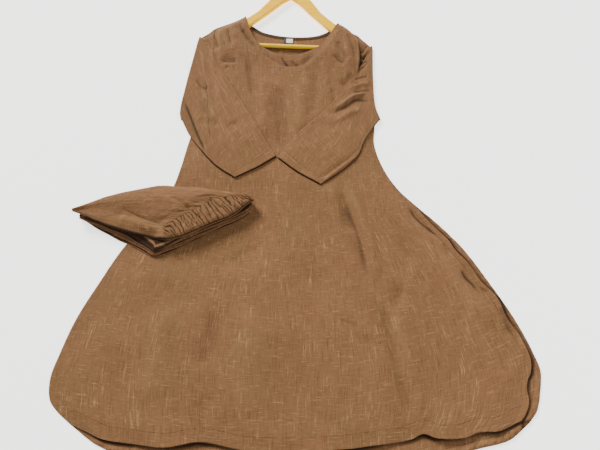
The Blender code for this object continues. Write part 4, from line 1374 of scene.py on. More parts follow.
@dataclass
class Kurta:
    """The kurta: back, front, two sleeves, back neck facing and the bare labels."""

    cloth: float = CLOTH
    back_cloth: float = BACK_CLOTH
    gap: float = SEAM_GAP
    facing_cloth: float = 0.0008
    facing_width: float = 0.011
    sleeve_half: float = 0.0021
    sleeve_gap: float = 0.0004
    armhole_room: float = 0.0004
    seam_reach: float = 0.0017
    mouth_lift: float = 0.0025
    sleeve_columns: int = 79
    label_size: tuple[float, float] = (0.0185, 0.0155)
    tab_size: tuple[float, float] = (0.0065, 0.0150)
    label_left: float = -0.0385
    label_below: float = 0.0785
    hem: float = 0.024
    slit_hem: float = 0.012
    border_hem: float = 0.014
    neck_hem: float = 0.020
    sleeve_hem: float = 0.020
    # A lip past the sleeve's edges that is painted dark, as a painted shadow line under them
    shadow_lip: float = 0.0018
    seam_columns: int = 6
    pucker_length: float = 0.050
    # Depth at which a broad crease gets its full painted shade, and the bounds of the mark: painted
    # highlight below 0, painted shade above
    painted_shade_depth: float = 0.012
    painted_light_range: tuple[float, float] = (-0.28, 0.30)
    # Air between the front and the back, so that valleys have somewhere to go
    air: float = 0.0032
    nodes: dict[str, Object] = field(default_factory=dict)

    def side_path(self, side: int) -> SmoothPath:
        """The front's left or right edge, just inside the back's.

        Args:
            side: -1 on the left, 1 on the right.

        Returns:
            The edge, from the top down.
        """
        if side < 0:
            rows = side_rows(LEFT_EDGE, side, end=1.07, inset=0.0015) + [FRONT_HEM[0]]
        else:
            rows = side_rows(RIGHT_EDGE, side, end=SLIT_TOP - 0.01, inset=0.0015)
            rows += side_rows(FRONT_SLIT_EDGE, side)
        return edge_path(tuple(rows))

    def build_back(self) -> Object:
        """Back panel: flat, with a puckered border where it shows past the front."""
        across = crowded(191, ((0.0, 0.05, 1.6), (0.86, 1.0, 2.6)))
        down = crowded(211, ((0.55, 1.0, 1.5),))
        left = edge_path(tuple(side_rows(LEFT_EDGE, -1)))
        right = edge_path(tuple(side_rows(RIGHT_EDGE, 1)))
        hem = edge_path(BACK_HEM)
        plan = coons(top_edge(BACK_NECK), hem, left, right, across, down)
        x, y = plan[..., 0], plan[..., 1]
        below = SHOULDER_Y - y
        slit, front_hem = np.array(FRONT_SLIT_EDGE), below_to_plan(FRONT_HEM)
        past_slit = x - np.interp(below, slit[:, 0], slit[:, 1])
        past_hem = np.interp(x, front_hem[:, 0], front_hem[:, 1]) - y
        beside = smoothstep(0.002, 0.010, past_slit) * smoothstep(SLIT_TOP, SLIT_TOP + 0.03, below)
        shown = np.maximum(beside, smoothstep(0.002, 0.010, past_hem))
        border = np.vstack([right.at(np.linspace(0.45, 1.0, 60)), hem.at(np.linspace(1.0, 0.0, 80))])
        away, along = distance_to_path(border, x, y)
        phase = along * 2.0 * math.pi / self.pucker_length + away * 150.0
        phase += 2.4 * np.sin(along * 19.0) + np.sin(along * 47.0)
        twist = np.abs(np.sin(phase)) ** 0.6 - 0.55
        roll = bell(away, 0.006, 0.006)
        pucker = roll * (0.0022 + 0.0016 * twist) + 0.0012 * twist * np.exp(-away / 0.02)
        # The shade that the front's edge throws on the back
        slit_shade = bell(past_slit, 0.0030, 0.0060)
        slit_shade *= smoothstep(SLIT_TOP - 0.01, SLIT_TOP + 0.01, below)
        shade = np.maximum(slit_shade, bell(past_hem, 0.0018, 0.0052))
        shade *= 0.80 + 0.20 * np.sin(along * 41.0)
        neck_ridge = soft(4.5, 0.9, (280, 47), (281, 53), (281, 60), level_mm=2)
        top = self.back_cloth + shown * pucker + np.maximum(neck_ridge.heights(x, y), 0.0)
        # Painted shade in the puckers' valleys, a painted highlight on their ridges, and the painted
        # shadow of the front's edge
        return shell(
            "back_cloth", x, y, top * (1.0 - 0.45 * on_rim(x)), np.zeros_like(x),
            self.grain(x, y, 0.0), np.maximum(0.55 * hollows(top, 0.0016, 3), shade),
            1.0 + 1000.0 * (away - self.border_hem),
        )

    def build_front(self, below: BVHTree) -> Object:
        """Front panel: its solid's form, softened, with the listed creases laid in.

        Args:
            below: what the front lies on.

        Returns:
            The new object.
        """
        across = crowded(255, ((0.0, 0.22, 1.5), (0.78, 1.0, 1.8)))
        down = crowded(275, ((0.0, 0.26, 2.0),))
        plan = coons(
            top_edge(FRONT_NECK), edge_path(FRONT_HEM), self.side_path(-1), self.side_path(1),
            across, down,
        )
        x, y = plan[..., 0], plan[..., 1]
        form = fill_gaps(ray_heights(tree_of(self.nodes["kurta_front"]), x, y))
        form = self.level_armholes(y, soften(form, 8))
        from_side = np.minimum(across, 1.0 - across)[None] * 0.4
        inner = np.minimum(from_side, np.minimum(down, 1.0 - down)[:, None])
        air = self.air * smoothstep(0.0, 0.035, inner) * (1.0 - self.under_packet(x, y))
        slack = self.slack(x, y)
        wanted = form + air + crease_sum(FRONT_CREASES, x, y) + slack + self.edge_lift(x, y)
        back = self.back_cloth + self.gap
        top = settle(
            x, y, np.maximum(wanted, back + self.cloth), below, self.cloth + self.gap, passes=2
        )
        edge = on_rim(x)
        under = np.where(edge > 0, top, spread(top).min(axis=0)) - self.cloth
        # Painted shade along the pinched creases, painted shade in the broad valleys and a painted
        # highlight on their ridges
        broad = tuple(crease for crease in FRONT_CREASES if crease.shape is not CreaseShape.PINCH)
        broad_crease_light = np.clip((crease_sum(broad, x, y) + slack) / -self.painted_shade_depth, *self.painted_light_range)
        painted_light = crease_shade(FRONT_CREASES, x, y) + broad_crease_light
        top = top - 0.0003 * edge * smoothstep(0.30, 0.34, SHOULDER_Y - y)
        return shell(
            "front_cloth", x, y, top, np.maximum(under, back), self.grain(x, y, 3.0), painted_light,
            self.front_sewn(x, y),
        )

    def grain(self, x: Array, y: Array, start: float) -> Array:
        """Place on the cut cloth: the skirt flares, and its warp runs out with the side edges.

        Args:
            x: plan x.
            y: plan y.
            start: where this panel's cloth starts, so that no two panels match.

        Returns:
            The two cloth positions of each point, in metres.
        """
        below = SHOULDER_Y - y
        edge = np.array(RIGHT_EDGE)
        reach = np.maximum(np.interp(below, edge[:, 0], edge[:, 1]), 0.30)
        share = 0.35 + 0.50 * smoothstep(-0.05, 0.15, x)
        across = x * (1.0 - share + share * 0.45 / reach)
        along = y - 0.5 * share * x**2 * smoothstep(0.5, 0.75, below)
        return np.stack([across + start, along], axis=-1)

    def under_packet(self, x: Array, y: Array) -> Array:
        """1 where the folded trousers press the front flat."""
        rows = window((0.52, 0.555), (0.745, 0.78), SHOULDER_Y - y)
        return (1.0 - smoothstep(-0.10, -0.06, x)) * rows

    def level_armholes(self, y: Array, form: Array) -> Array:
        """Carry the cloth's height out to the armhole seams, where the sleeves go on.

        Args:
            y: plan y of each place.
            form: heights of the front.

        Returns:
            The heights, level near the seams.
        """
        form = form.copy()
        inner = self.seam_columns
        for edge, source in ((slice(0, inner), inner), (slice(-inner, None), -inner - 1)):
            share = 1.0 - smoothstep(0.31, 0.34, SHOULDER_Y - y[:, edge])
            form[:, edge] = form[:, edge] * (1.0 - share) + form[:, source][:, None] * share
        return form

    def edge_lift(self, x: Array, y: Array) -> Array:
        """How far the front's slit edge and hem stand off the back, in ripples.

        Args:
            x: plan x of each place.
            y: plan y of each place.

        Returns:
            The lift of each place.
        """
        slit = below_to_plan(side_rows(FRONT_SLIT_EDGE, 1))
        hem = edge_path(FRONT_HEM).dense
        lift = np.zeros_like(x)
        for line, high, ripple, reach in ((slit, 0.0042, 0.115, 0.010), (hem, 0.0030, 0.074, 0.009)):
            away, along = distance_to_path(line, x, y)
            wave = 0.55 + 0.45 * np.sin(along * 2.0 * math.pi / ripple + 1.7 * np.sin(along * 23.0))
            rise = high * wave * smoothstep(0.0, 0.04, along)
            lift = np.maximum(lift, rise * bell(away, 0.0, reach))
        return lift

    def front_sewn(self, x: Array, y: Array) -> Array:
        """Distance in mm, plus one, from the front's rows of stitches.

        Args:
            x: plan x of each place.
            y: plan y of each place.

        Returns:
            The mark of each place.
        """
        rows = (
            (edge_path(FRONT_HEM).dense, self.hem),
            (below_to_plan(side_rows(FRONT_SLIT_EDGE, 1)), self.slit_hem),
            (edge_path(FRONT_NECK).dense, self.neck_hem),
        )
        inside = [distance_to_path(line, x, y)[0] - offset for line, offset in rows]
        return 1.0 + 1000.0 * np.minimum.reduce(inside)

    def slack(self, x: Array, y: Array) -> Array:
        """Soft unevenness of cloth that was laid down by hand.

        Args:
            x: plan x of each place.
            y: plan y of each place.

        Returns:
            The height that it adds.
        """
        broad = np.sin(x * 31.0 + 2.1 * np.sin(y * 13.0 + 1.0)) * np.sin(y * 19.0 + x * 11.0)
        small = np.sin(x * 97.0 + 2.6 * np.sin(y * 37.0)) * np.sin(y * 61.0 - x * 43.0 + 0.7)
        return 0.0015 * broad + 0.00055 * small

    def armhole(self, shape: SleeveShape) -> Array:
        """Points just outside the body's edge, from the shoulder tip to the underarm.

        Args:
            shape: the sleeve's plan edges.

        Returns:
            The points, one a row.
        """
        dense = edge_path(tuple(side_rows(shape.body_edge, shape.side))).dense
        first = shape.body_edge[0][0] + 0.004
        belows = np.linspace(first, shape.armhole_end, self.sleeve_columns)
        x = np.interp(belows, SHOULDER_Y - dense[:, 1], dense[:, 0])
        return np.stack([x + shape.side * self.armhole_room, SHOULDER_Y - belows], axis=1)

    def build_sleeve(self, name: str, shape: SleeveShape, below: BVHTree) -> Object:
        """A flattened tube: out from the armhole, round its fold and back over the front.

        Args:
            name: the piece's name.
            shape: its plan edges.
            below: what its upper layer lies on.

        Returns:
            The new object.
        """
        span = np.linspace(0.0, 1.0, self.sleeve_columns)
        close = [0.0, 0.006, 0.014, 0.026, 0.044, 0.065]
        rows = np.concatenate([close, np.linspace(0.085, 1.0, 108)])
        fold_path = edge_path(shape.fold)
        plan = coons(
            fold_path, edge_path(shape.hem), edge_path(shape.crown), edge_path(shape.underarm),
            span, rows,
        )
        x, y = plan[..., 0], plan[..., 1]
        lift = self.mouth_lift * smoothstep(0.85, 1.0, rows)[:, None]
        level = np.full_like(x, 2.0 * self.sleeve_half + self.sleeve_gap) + lift
        rest = settle(x, y, level, below, self.sleeve_gap, passes=3)
        half = self.sleeve_half * (0.45 + 0.55 * smoothstep(0.0, 0.07, np.minimum(span, 1.0 - span)))
        fold = fold_path.at(span)
        rings = self._lower_rings(shape, fold, half, below)
        rings += self._fold_rings(shape, fold, half, rest[0] / 2.0)
        rings += self._upper_rings(shape, plan, half, rest)
        return self._tube(name, rings)

    def _lower_rings(
        self, shape: SleeveShape, fold: Array, half: Array, below: BVHTree
    ) -> list[SleeveRing]:
        """The layer that leaves the armhole and runs out to the fold.

        Args:
            shape: the sleeve's plan edges.
            fold: plan points of the fold.
            half: half the layer's thickness.
            below: the front, whose edge it meets.

        Returns:
            Its rings.
        """
        armhole = self.armhole(shape)
        inside = armhole - np.array([shape.side * self.seam_reach, 0.0])
        edge = ray_heights(below, inside[:, 0] - shape.side * 0.004, inside[:, 1])
        edge = np.pad(fill_gaps(edge[None])[0], 3, mode="edge")
        edge = np.convolve(edge, np.ones(7) / 7, "valid")
        rings = []
        for t in (0.0, 0.012, 0.05, 0.11, 0.18, 0.26, 0.34, 0.43, 0.52, 0.62, 0.72, 0.83, 0.95):
            at_seam = t == 0.0
            flat = (inside if at_seam else armhole) * (1.0 - t) + fold * t
            floor = self.back_cloth + self.gap if at_seam else 0.0
            cap = 1.0 - smoothstep(0.0, 0.5, t)
            high = half * 2.0 * (1.0 - cap) + edge * cap
            thick = np.maximum((high - floor) / 2.0, self.cloth)
            folds = crease_sum(shape.creases, flat[:, 0], flat[:, 1]) * smoothstep(0.0, 0.06, t)
            lowest = self.cloth + 0.0002 - thick
            rings.append(SleeveRing(
                np.column_stack([flat, floor + thick]), np.tile(-UP, (len(flat), 1)), thick,
                np.maximum(thick + np.minimum(folds, 0.0012), lowest),
                near=crease_shade(shape.creases, flat[:, 0], flat[:, 1]),
            ))
        return rings

    def _fold_rings(
        self, shape: SleeveShape, fold: Array, half: Array, radius: Array
    ) -> list[SleeveRing]:
        """The turn at the fold.

        Args:
            shape: the sleeve's plan edges.
            fold: plan points of the fold.
            half: half the layer's thickness.
            radius: the turn's radius at each point.

        Returns:
            Its rings.
        """
        tangent = unit(np.gradient(fold, axis=0))
        out = np.column_stack([tangent[:, 1], -tangent[:, 0], np.zeros(len(fold))])
        out *= shape.side * np.sign(out[:, :1])
        base = np.column_stack([fold, self.sleeve_half + radius])
        rings = []
        for angle in np.radians([20.0, 45.0, 70.0, 90.0, 110.0, 135.0, 160.0]):
            way = out * math.sin(angle) - UP * math.cos(angle)
            rings.append(SleeveRing(base + way * radius[:, None], way, half, half))
        return rings

    def _upper_rings(
        self, shape: SleeveShape, plan: Array, half: Array, rest: Array
    ) -> list[SleeveRing]:
        """The layer that lies over the front, from the fold to the mouth.

        Args:
            shape: the sleeve's plan edges.
            plan: its plan grid.
            half: half the layer's thickness.
            rest: height that each point lies on.

        Returns:
            Its rings.
        """
        x, y = plan[..., 0], plan[..., 1]
        crease = crease_sum(shape.creases, x, y)
        # Painted shade along the pinched creases and a painted highlight on the ridges
        ridge_highlight = np.minimum(hollows(crease, 0.0040, 3), 0.0)
        painted_light = crease_shade(shape.creases, x, y) + ridge_highlight
        steps = np.linalg.norm(np.diff(plan[:, len(half) // 2], axis=0), axis=1)
        to_mouth = np.concatenate([np.cumsum(steps[::-1])[::-1], [0.0]])
        thinnest = 2.0 * self.cloth + 0.0002 - half
        # By the mouth the near side is painted dark, and so is each ring's end past the fold: a painted
        # shadow line under the sleeve's edges
        last = len(plan) - 1
        return [
            SleeveRing(
                np.column_stack([x[i], y[i], rest[i] + self.sleeve_half]),
                np.tile(UP, (len(half), 1)), np.maximum(half + crease[i], thinnest), half,
                far=painted_light[i], near=1.0 if i > last - 3 else 0.0,
                end_shade=1.0 if i > 0 else painted_light[0, -1],
                sewn=1.0 + 1000.0 * (to_mouth[i] - self.sleeve_hem),
            )
            for i in range(len(plan))
        ]

    def _tube(self, name: str, rings: list[SleeveRing]) -> Object:
        """Skin a sleeve's rings with a wall, with a little lip at the mouth and the edges, painted dark
        as a painted shadow line.

        Args:
            name: the piece's name.
            rings: from the seam to the mouth.

        Returns:
            The new object.
        """
        middles = [ring.middle for ring in rings]
        steps = [np.linalg.norm(b - a, axis=1).mean() for a, b in zip(middles, middles[1:])]
        runs = np.concatenate([[0.0], np.cumsum(steps)])
        mouth = (middles[-1] - middles[-2])[::-1]
        mouth *= self.shadow_lip / np.linalg.norm(mouth, axis=1).max()
        points, uvs = [], []
        for inset in (0.0, self.cloth):
            for run, ring in zip(runs, rings):
                outermost = ring is rings[-1] and inset == 0.0
                points.append(ring.skin(inset, self.shadow_lip, mouth if outermost else 0.0))
                uvs.append(ring.map(run))
        count, size = len(rings), len(points[0])
        wall = count * size
        faces = ring_faces(count, size) + ring_faces(count, size, wall, flip=True)
        for row in (0, count - 1):
            for j in range(size):
                a, b = row * size + j, row * size + (j + 1) % size
                faces.append((a, b, b + wall, a + wall))
        obj = link_mesh(name, np.vstack(points), faces)
        add_uv(obj, np.vstack(uvs))
        outward_normals(obj)
        # The inner wall is painted fully dark, as painted shade inside the tube
        outside = np.concatenate([ring.painted_light() for ring in rings])
        add_mark(obj, "painted_light", np.concatenate([outside, np.ones_like(outside)]))
        add_mark(obj, "sewn", np.tile(np.repeat([ring.sewn for ring in rings], size), 2))
        return obj

    def build_facing(self) -> Object:
        """Narrow facing along the back neckline."""
        fractions = np.linspace(0.13, 0.88, 161)
        line = edge_path(BACK_NECK).at(fractions)
        tangent = unit(np.gradient(line, axis=0))
        inward = np.column_stack([tangent[:, 1], -tangent[:, 0]])
        offsets = np.array([0.0, 0.02, 0.06, 0.16, 0.30, 0.5, 0.7, 0.86, 0.95, 0.98, 1.0])
        reach = 0.0008 + (self.facing_width - 0.0008) * offsets
        grid = line[None] + inward[None] * reach[:, None, None]
        x, y = grid[..., 0], grid[..., 1]
        base = self.back_cloth + self.gap
        stitch = bell(offsets, 0.16, 0.05) + bell(offsets, 0.86, 0.05)
        ripple = 0.00012 * np.sin(fractions * 420.0)
        top = base + self.facing_cloth + ripple[None] - 0.0003 * stitch[:, None]
        top[[0, -1]] -= 0.0004
        return shell("neck_facing_cloth", x, y, top, np.full_like(x, base), np.stack([x, y], axis=-1))

    def build_tag(self, name: str, left: float, size: tuple[float, float], fold: float) -> Object:
        """A small bare tag of woven tape.

        Args:
            name: the piece's name.
            left: x of its left edge.
            size: its width and length.
            fold: height of its soft bow.

        Returns:
            The new object.
        """
        u, v = np.meshgrid(np.linspace(0, 1, 21), np.linspace(0, 1, 17))
        x = left + size[0] * u
        y = SHOULDER_Y - self.label_below - size[1] * v
        base = self.back_cloth + self.gap + self.facing_cloth + self.gap
        bow = fold * np.sin(math.pi * v) * (0.6 + 0.4 * np.cos(3.0 * u))
        top = base + 0.0005 + bow
        return shell(name, x, y, top, base + bow * 0.9, np.stack([x, y], axis=-1))


# The folded packet's outline: x, distance below, and how much its side leans back
STACK_OUTLINE: tuple[tuple[float, float, float], ...] = (
    (-0.512, 0.637, 0.2), (-0.4526, 0.671, 1.4), (-0.393, 0.700, 1.8), (-0.343, 0.727, 1.4),
    (-0.334, 0.7325, 1.2), (-0.322, 0.7345, 1.0), (-0.291, 0.722, 0.9), (-0.260, 0.706, 0.9),
    (-0.224, 0.687, 0.9), (-0.192, 0.672, 0.9), (-0.168, 0.659, 0.9), (-0.138, 0.643, 0.8),
    (-0.112, 0.620, 0.5), (-0.108, 0.600, 0.2), (-0.150, 0.587, 0.2), (-0.235, 0.573, 0.2),
    (-0.317, 0.567, 0.2), (-0.377, 0.579, 0.2), (-0.450, 0.601, 0.2), (-0.500, 0.623, 0.1),
)
# Edges of the top leg and of the waistband by x and distance below
LEG_FAR_EDGE = metres(
    (-520, 626), (-466, 600), (-423, 582), (-377, 571.5), (-339, 561), (-317, 558.5), (-280, 563),
    (-235, 565), (-200, 572), (-150, 581),
)
LEG_NEAR_EDGE = metres((-518, 630), (-485, 642), (-442.5, 660), (-377, 682), (-335, 692), (-305, 696))
BAND_NEAR_EDGE = metres(
    (-299, 699), (-267, 692), (-227, 674), (-189, 655.4), (-162, 644), (-141.5, 630.4), (-126.5, 614),
    (-109.6, 602),
)
BAND_FAR_EDGE = metres((-301.5, 667), (-266, 643), (-227, 619), (-187, 600), (-155, 594), (-120, 590))
LEG_CREASES: tuple[Crease, ...] = (
    soft(12, 1.8, (94, 229), (108, 233), (122, 239), (140, 244), level_mm=32),
    pinch(3.4, -1.8, (121, 208), (130, 212), (144, 218), (158, 222), (166, 223), level_mm=32),
    soft(10, 2, (118, 214), (138, 224), (158, 229), level_mm=32),
    pinch(3.4, -2, (210, 196), (212, 203), (216, 209), level_mm=32),
    pinch(3.4, -1.8, (217, 204), (224, 202), (231, 200), level_mm=32),
    pinch(3.4, -1.4, (227, 196), (229, 201), level_mm=32),
    soft(5, -1.6, (170, 197), (182, 203), (192, 212), level_mm=32),
    soft(10, 1.2, (150, 196), (166, 199), (180, 206), level_mm=32),
)
# A folded edge seen end on: height in its layer, how far it draws in, and its painted shade, below 0 a
# painted highlight
LAYER_EDGE: Points = (
    (0.02, 0.0055, 1.0), (0.15, 0.0030, 1.0), (0.29, 0.0005, 0.2), (0.48, 0.0, -0.9),
    (0.68, 0.0004, -0.7), (0.83, 0.0026, 0.8), (0.98, 0.0055, 1.0),
)
# The packet's covered top, from its edge to its middle: share of the way, and its painted shade, below 0
# a painted highlight
STACK_TOP: Points = (
    (0.985, -0.3), (0.96, -0.1), (0.935, 0.0), (0.91, 0.6), (0.88, 1.0), (0.7, 1.0), (0.4, 1.0),
    (0.15, 1.0),
)


@dataclass
class PalazzoPacket:
    """The palazzo trousers folded into a packet, with their gathered waistband in front."""

    cloth: float = CLOTH
    gap: float = SEAM_GAP
    front_rest: float = BACK_CLOTH + SEAM_GAP
    layers: int = 5
    layer_thick: float = 0.0028
    lean_back: float = 0.014
    stack_points: int = 240
    band_half: float = 0.0025
    band_low: float = 0.0208
    band_top: float = 0.0280
    band_length: float = 0.42
    band_stations: int = 406
    gathers: tuple[int, int] = (32, 28)
    gather_height: float = 0.0044
    band_corner: float = 0.12
    clear_of_band: float = 0.0004
    leg_length: float = 0.34
    seed: int = 7
    nodes: dict[str, Object] = field(default_factory=dict)

    def gather_profile(self, s: Array, w: Array, row: int) -> Array:
        """Round puffs with sharp valleys, uneven in width, slant and height.

        Args:
            s: fraction along the band.
            w: fraction across the band.
            row: which side of the elastic's middle, as each side is gathered by itself.

        Returns:
            The share of a whole puff at each place.
        """
        count = self.gathers[row]
        rng = np.random.default_rng(self.seed + row)
        widths = rng.uniform(0.5, 1.7, count)
        heights = rng.uniform(0.45, 1.15, count + 2)
        # The gathers reach past both ends of the band, for the leg's puffs to take up
        marks = 1.30 * np.concatenate([[0.0], np.cumsum(widths) / widths.sum()]) - 0.20
        slant = 0.062 + 0.15 * np.exp(-s / 0.10)
        slant = slant + 0.026 * np.sin(s * 19.0 + 1.0 + row) + 0.014 * np.sin(s * 53.0)
        wiggle = 0.0050 * np.sin(w * 7.0 + s * 61.0 + 2.0 * row) + 0.003 * np.sin(w * 17.0 + s * 33.0)
        phase = np.interp(s + slant * (w - 0.5) + wiggle, marks, np.arange(count + 1))
        which = np.clip(np.floor(phase).astype(int), 0, count)
        crease = 0.20 * np.abs(np.sin(math.pi * phase * 2.0 + 0.6 * np.sin(phase)))
        return (np.abs(np.sin(math.pi * phase)) ** 0.65 + crease) * heights[which]

    def gathered(self, s: Array, w: Array) -> Array:
        """Puffs of both sides of the elastic, blended over its middle.

        Args:
            s: fraction along the band.
            w: fraction across the band.

        Returns:
            The share of a whole puff at each place.
        """
        blend = smoothstep(0.40, 0.60, w + 0.12 * np.sin(s * 43.0))
        return self.gather_profile(s, w, 0) * (1.0 - blend) + self.gather_profile(s, w, 1) * blend

    def stack_line(self, fractions: Array) -> tuple[Array, ...]:
        """The packet's outline.

        Args:
            fractions: places round it.

        Returns:
            Plan points, how much each leans back, and the way in from each.
        """
        rows = STACK_OUTLINE + (STACK_OUTLINE[0],)
        places = below_to_plan(tuple(row[:2] for row in rows))
        line = SmoothPath(places).at(fractions)
        chords = SmoothPath(places, smooth=False).lengths
        lean = np.interp(fractions, chords / chords[-1], [row[2] for row in rows])
        tangent = unit(np.roll(line, -1, axis=0) - np.roll(line, 1, axis=0))
        inward = np.column_stack([-tangent[:, 1], tangent[:, 0]])
        inward *= np.sign(((line.mean(axis=0) - line) * inward).sum(axis=1))[:, None]
        return line, lean, inward

    def build_stack(self, below: BVHTree) -> Object:
        """The hidden layers as one rounded form, with each layer's fold at its edge.

        Args:
            below: what the packet lies on.

        Returns:
            The new object.
        """
        count = self.stack_points
        fractions = np.arange(count) / count
        line, lean, inward = self.stack_line(fractions)
        centre = line.mean(axis=0)
        base = self.front_rest + self.cloth + self.gap
        off_kurta = np.isnan(ray_heights(below, line[:, 0], line[:, 1]))
        floor = np.where(off_kurta, 0.0, base)
        floor = np.convolve(np.concatenate([floor[-4:], floor, floor[:4]]), np.ones(9) / 9, "valid")
        rings, uvs, painted_light = [], [], []

        def add(plan: Array, height: Array, run: float, shade: Array | float) -> None:
            """Keep one ring.

            Args:
                plan: x and y of its points.
                height: their height.
                run: place along the cut cloth.
                shade: its painted shade, below 0 a painted highlight.
            """
            rings.append(np.column_stack([plan, height]))
            uvs.append(np.column_stack([fractions * 0.98, np.full(count, run)]))
            painted_light.append(np.zeros(count) + shade)

        solid = tree_of(self.nodes["palazzo_leg_lower"])
        for share in (0.15, 0.5, 0.8, 0.95):
            plan = centre + (line - centre) * share
            under = ray_heights(solid, plan[:, 0], plan[:, 1], upwards=True)
            add(plan, np.nan_to_num(under, nan=base), 0.1 * share, 0.0)
        # The top leg overhangs the layers along the near edge, from its tip to the band; there and beside
        # the band the upper layers get painted shadow
        along_leg = window((0.0, 0.02), (0.24, 0.30), fractions)
        beside_band = window((0.34, 0.38), (0.62, 0.66), fractions)
        for layer in range(self.layers):
            share = layer / (self.layers - 1)
            wander = 0.0009 * np.sin(5.0 * layer + fractions * 37.0)
            wander += 0.0006 * np.sin(11.0 * layer + fractions * 83.0)
            sag = (base - floor) * (1.0 - layer / self.layers)
            sag -= 0.0004 * np.sin(fractions * 51.0 + layer * 2.0)
            darkest = np.maximum(along_leg * (layer - 2.2), beside_band * (layer - 3.1))
            for height, pull, shade in LAYER_EDGE:
                amount = lean * self.lean_back * share + pull + 0.0008 + wander
                level = base + self.layer_thick * (layer + height) - sag
                # Painted shade in the crevices between folded edges and a painted highlight on their
                # rounds, weaker on every second layer
                dark = np.maximum(shade * (1.0 if layer % 2 == 0 else 0.4), darkest)
                run = 0.12 + 0.004 * layer + 0.003 * height
                add(line + inward * amount[:, None], np.maximum(level, 0.0002), run, dark)
        top = base + self.layer_thick * self.layers
        last = rings[-1][:, :2]
        for share, shade in STACK_TOP:
            level = np.full(count, top + 0.0008 * (1.0 - share))
            add(centre + (last - centre) * share, level, 0.2, np.maximum(shade, 0.9 * beside_band))
        marks = np.clip(np.concatenate(painted_light), -1.0, 1.0)
        return lofted("packet_layers_cloth", rings, uvs, marks)

    def build_band(self) -> Object:
        """Elastic waistband: gathered casing, folded back under itself at its right end."""
        near, far = edge_path(BAND_NEAR_EDGE), edge_path(BAND_FAR_EDGE)
        widths = np.concatenate([[0.0, 0.04, 0.10], np.linspace(0.18, 0.86, 16), [0.93, 0.98, 1.0]])
        ends = near.at(1.0)[0] - near.at(0.97)[0] + far.at(1.0)[0] - far.at(0.97)[0]
        end_out = np.append(ends / np.linalg.norm(ends), 0.0)
        radius = (self.band_top - self.band_low) / 2.0
        round_edge = np.sqrt(np.clip(1.0 - np.abs(2.0 * widths - 1.0) ** 3.0, 0.0, 1.0))
        plain = self.band_half * (0.15 + 0.75 * round_edge)
        rings, uvs, painted_light = [], [], []

        def add(
            s: float, height: float, away: Array, shift: float, outer: Array, run: float,
            valley: Array | float = 0.0, underside: float = 0.0,
        ) -> None:
            """Keep one closed ring round the casing.

            Args:
                s: fraction along the band.
                height: level of its middle.
                away: the way out of its outer side.
                shift: how far past the band's end it lies.
                outer: from the middle to the outer side.
                run: place along the cut cloth.
                valley: painted shade of the outer side, below 0 a painted highlight.
                underside: painted shade of the other side.
            """
            a, b = near.at(s)[0], far.at(s)[0]
            flat = a + (b - a) * widths[:, None]
            middle = np.column_stack([flat, np.full(len(widths), height)]) + end_out * shift
            half = self.band_half * (0.15 + 0.85 * round_edge)
            other_side = (middle - away * half[:, None])[::-1]
            rings.append(np.vstack([middle + away * outer[:, None], other_side]))
            across = np.concatenate([widths, 2.0 - widths[::-1]]) * 0.045
            uvs.append(np.column_stack([across + 11.0, np.full(len(across), run)]))
            painted_light.extend([np.zeros(len(widths)) + valley, np.full(len(widths), underside)])

        near_share = smoothstep(0.0, 0.14, widths)
        share = (0.30 + 0.70 * near_share) * (1.0 - 0.25 * smoothstep(0.7, 1.0, widths))
        dome = self.band_half * (0.15 + 0.45 * near_share)
        near_shade = 1.0 - smoothstep(0.0, 0.06, widths)
        for s in np.linspace(0.0, 1.0, self.band_stations):
            puff = self.gathered(np.full(len(widths), s), widths)
            outer = dome + puff * self.gather_height * share
            # Painted shade in the gathers' valleys and along the near edge, a painted highlight on the
            # puffs; the casing's other side is painted fully dark
            valley = np.maximum(np.clip((0.62 - puff) / 0.5, -1.0, 1.0), near_shade)
            add(s, self.band_top, UP, 0.0, outer, s * self.band_length, valley, 1.0)
        for angle in np.radians([20.0, 45.0, 70.0, 90.0, 110.0, 135.0, 160.0]):
            away = end_out * math.sin(angle) + UP * math.cos(angle)
            height = (self.band_top + self.band_low) / 2.0 + radius * math.cos(angle)
            add(1.0, height, away, radius * math.sin(angle), plain, self.band_length)
        for s in np.linspace(1.0, 0.0, 60):
            add(s, self.band_low, -UP, 0.0, plain, (2.0 - s) * self.band_length)
        return lofted("waistband_cloth", rings, uvs, np.concatenate(painted_light))

    def leg_plan(self, across: Array, along: Array) -> Array:
        """The top leg's plan, from its tip to the band and round the band's left corner.

        Args:
            across: fractions of the columns, from the near edge to the far one.
            along: fractions of the rows.

        Returns:
            An array of rows, columns and x, y.
        """
        band_side = edge_path(BAND_FAR_EDGE)
        steps = np.linspace(0.0, 1.0, 25)
        ahead = band_side.at(np.minimum(steps + 0.02, 1.0)) - band_side.at(np.maximum(steps - 0.02, 0.0))
        ahead = unit(ahead) * self.clear_of_band
        past = band_side.at(steps) + np.column_stack([-ahead[:, 1], ahead[:, 0]])
        near_corner = edge_path(BAND_NEAR_EDGE).at(0.0)[0] - np.array([self.clear_of_band, 0.0])
        band_edge = JoinedPath((
            (0.0, SmoothPath(np.array([near_corner, past[0]]), smooth=False)),
            (self.band_corner, SmoothPath(past)),
        ))
        far = SmoothPath(np.vstack([below_to_plan(LEG_FAR_EDGE), past[-1:]]))
        near = SmoothPath(np.vstack([below_to_plan(LEG_NEAR_EDGE[:-1]), near_corner[None]]))
        tip = SmoothPath(below_to_plan((LEG_NEAR_EDGE[0], LEG_FAR_EDGE[0])), smooth=False)
        return coons(tip, band_edge, near, far, across, along)

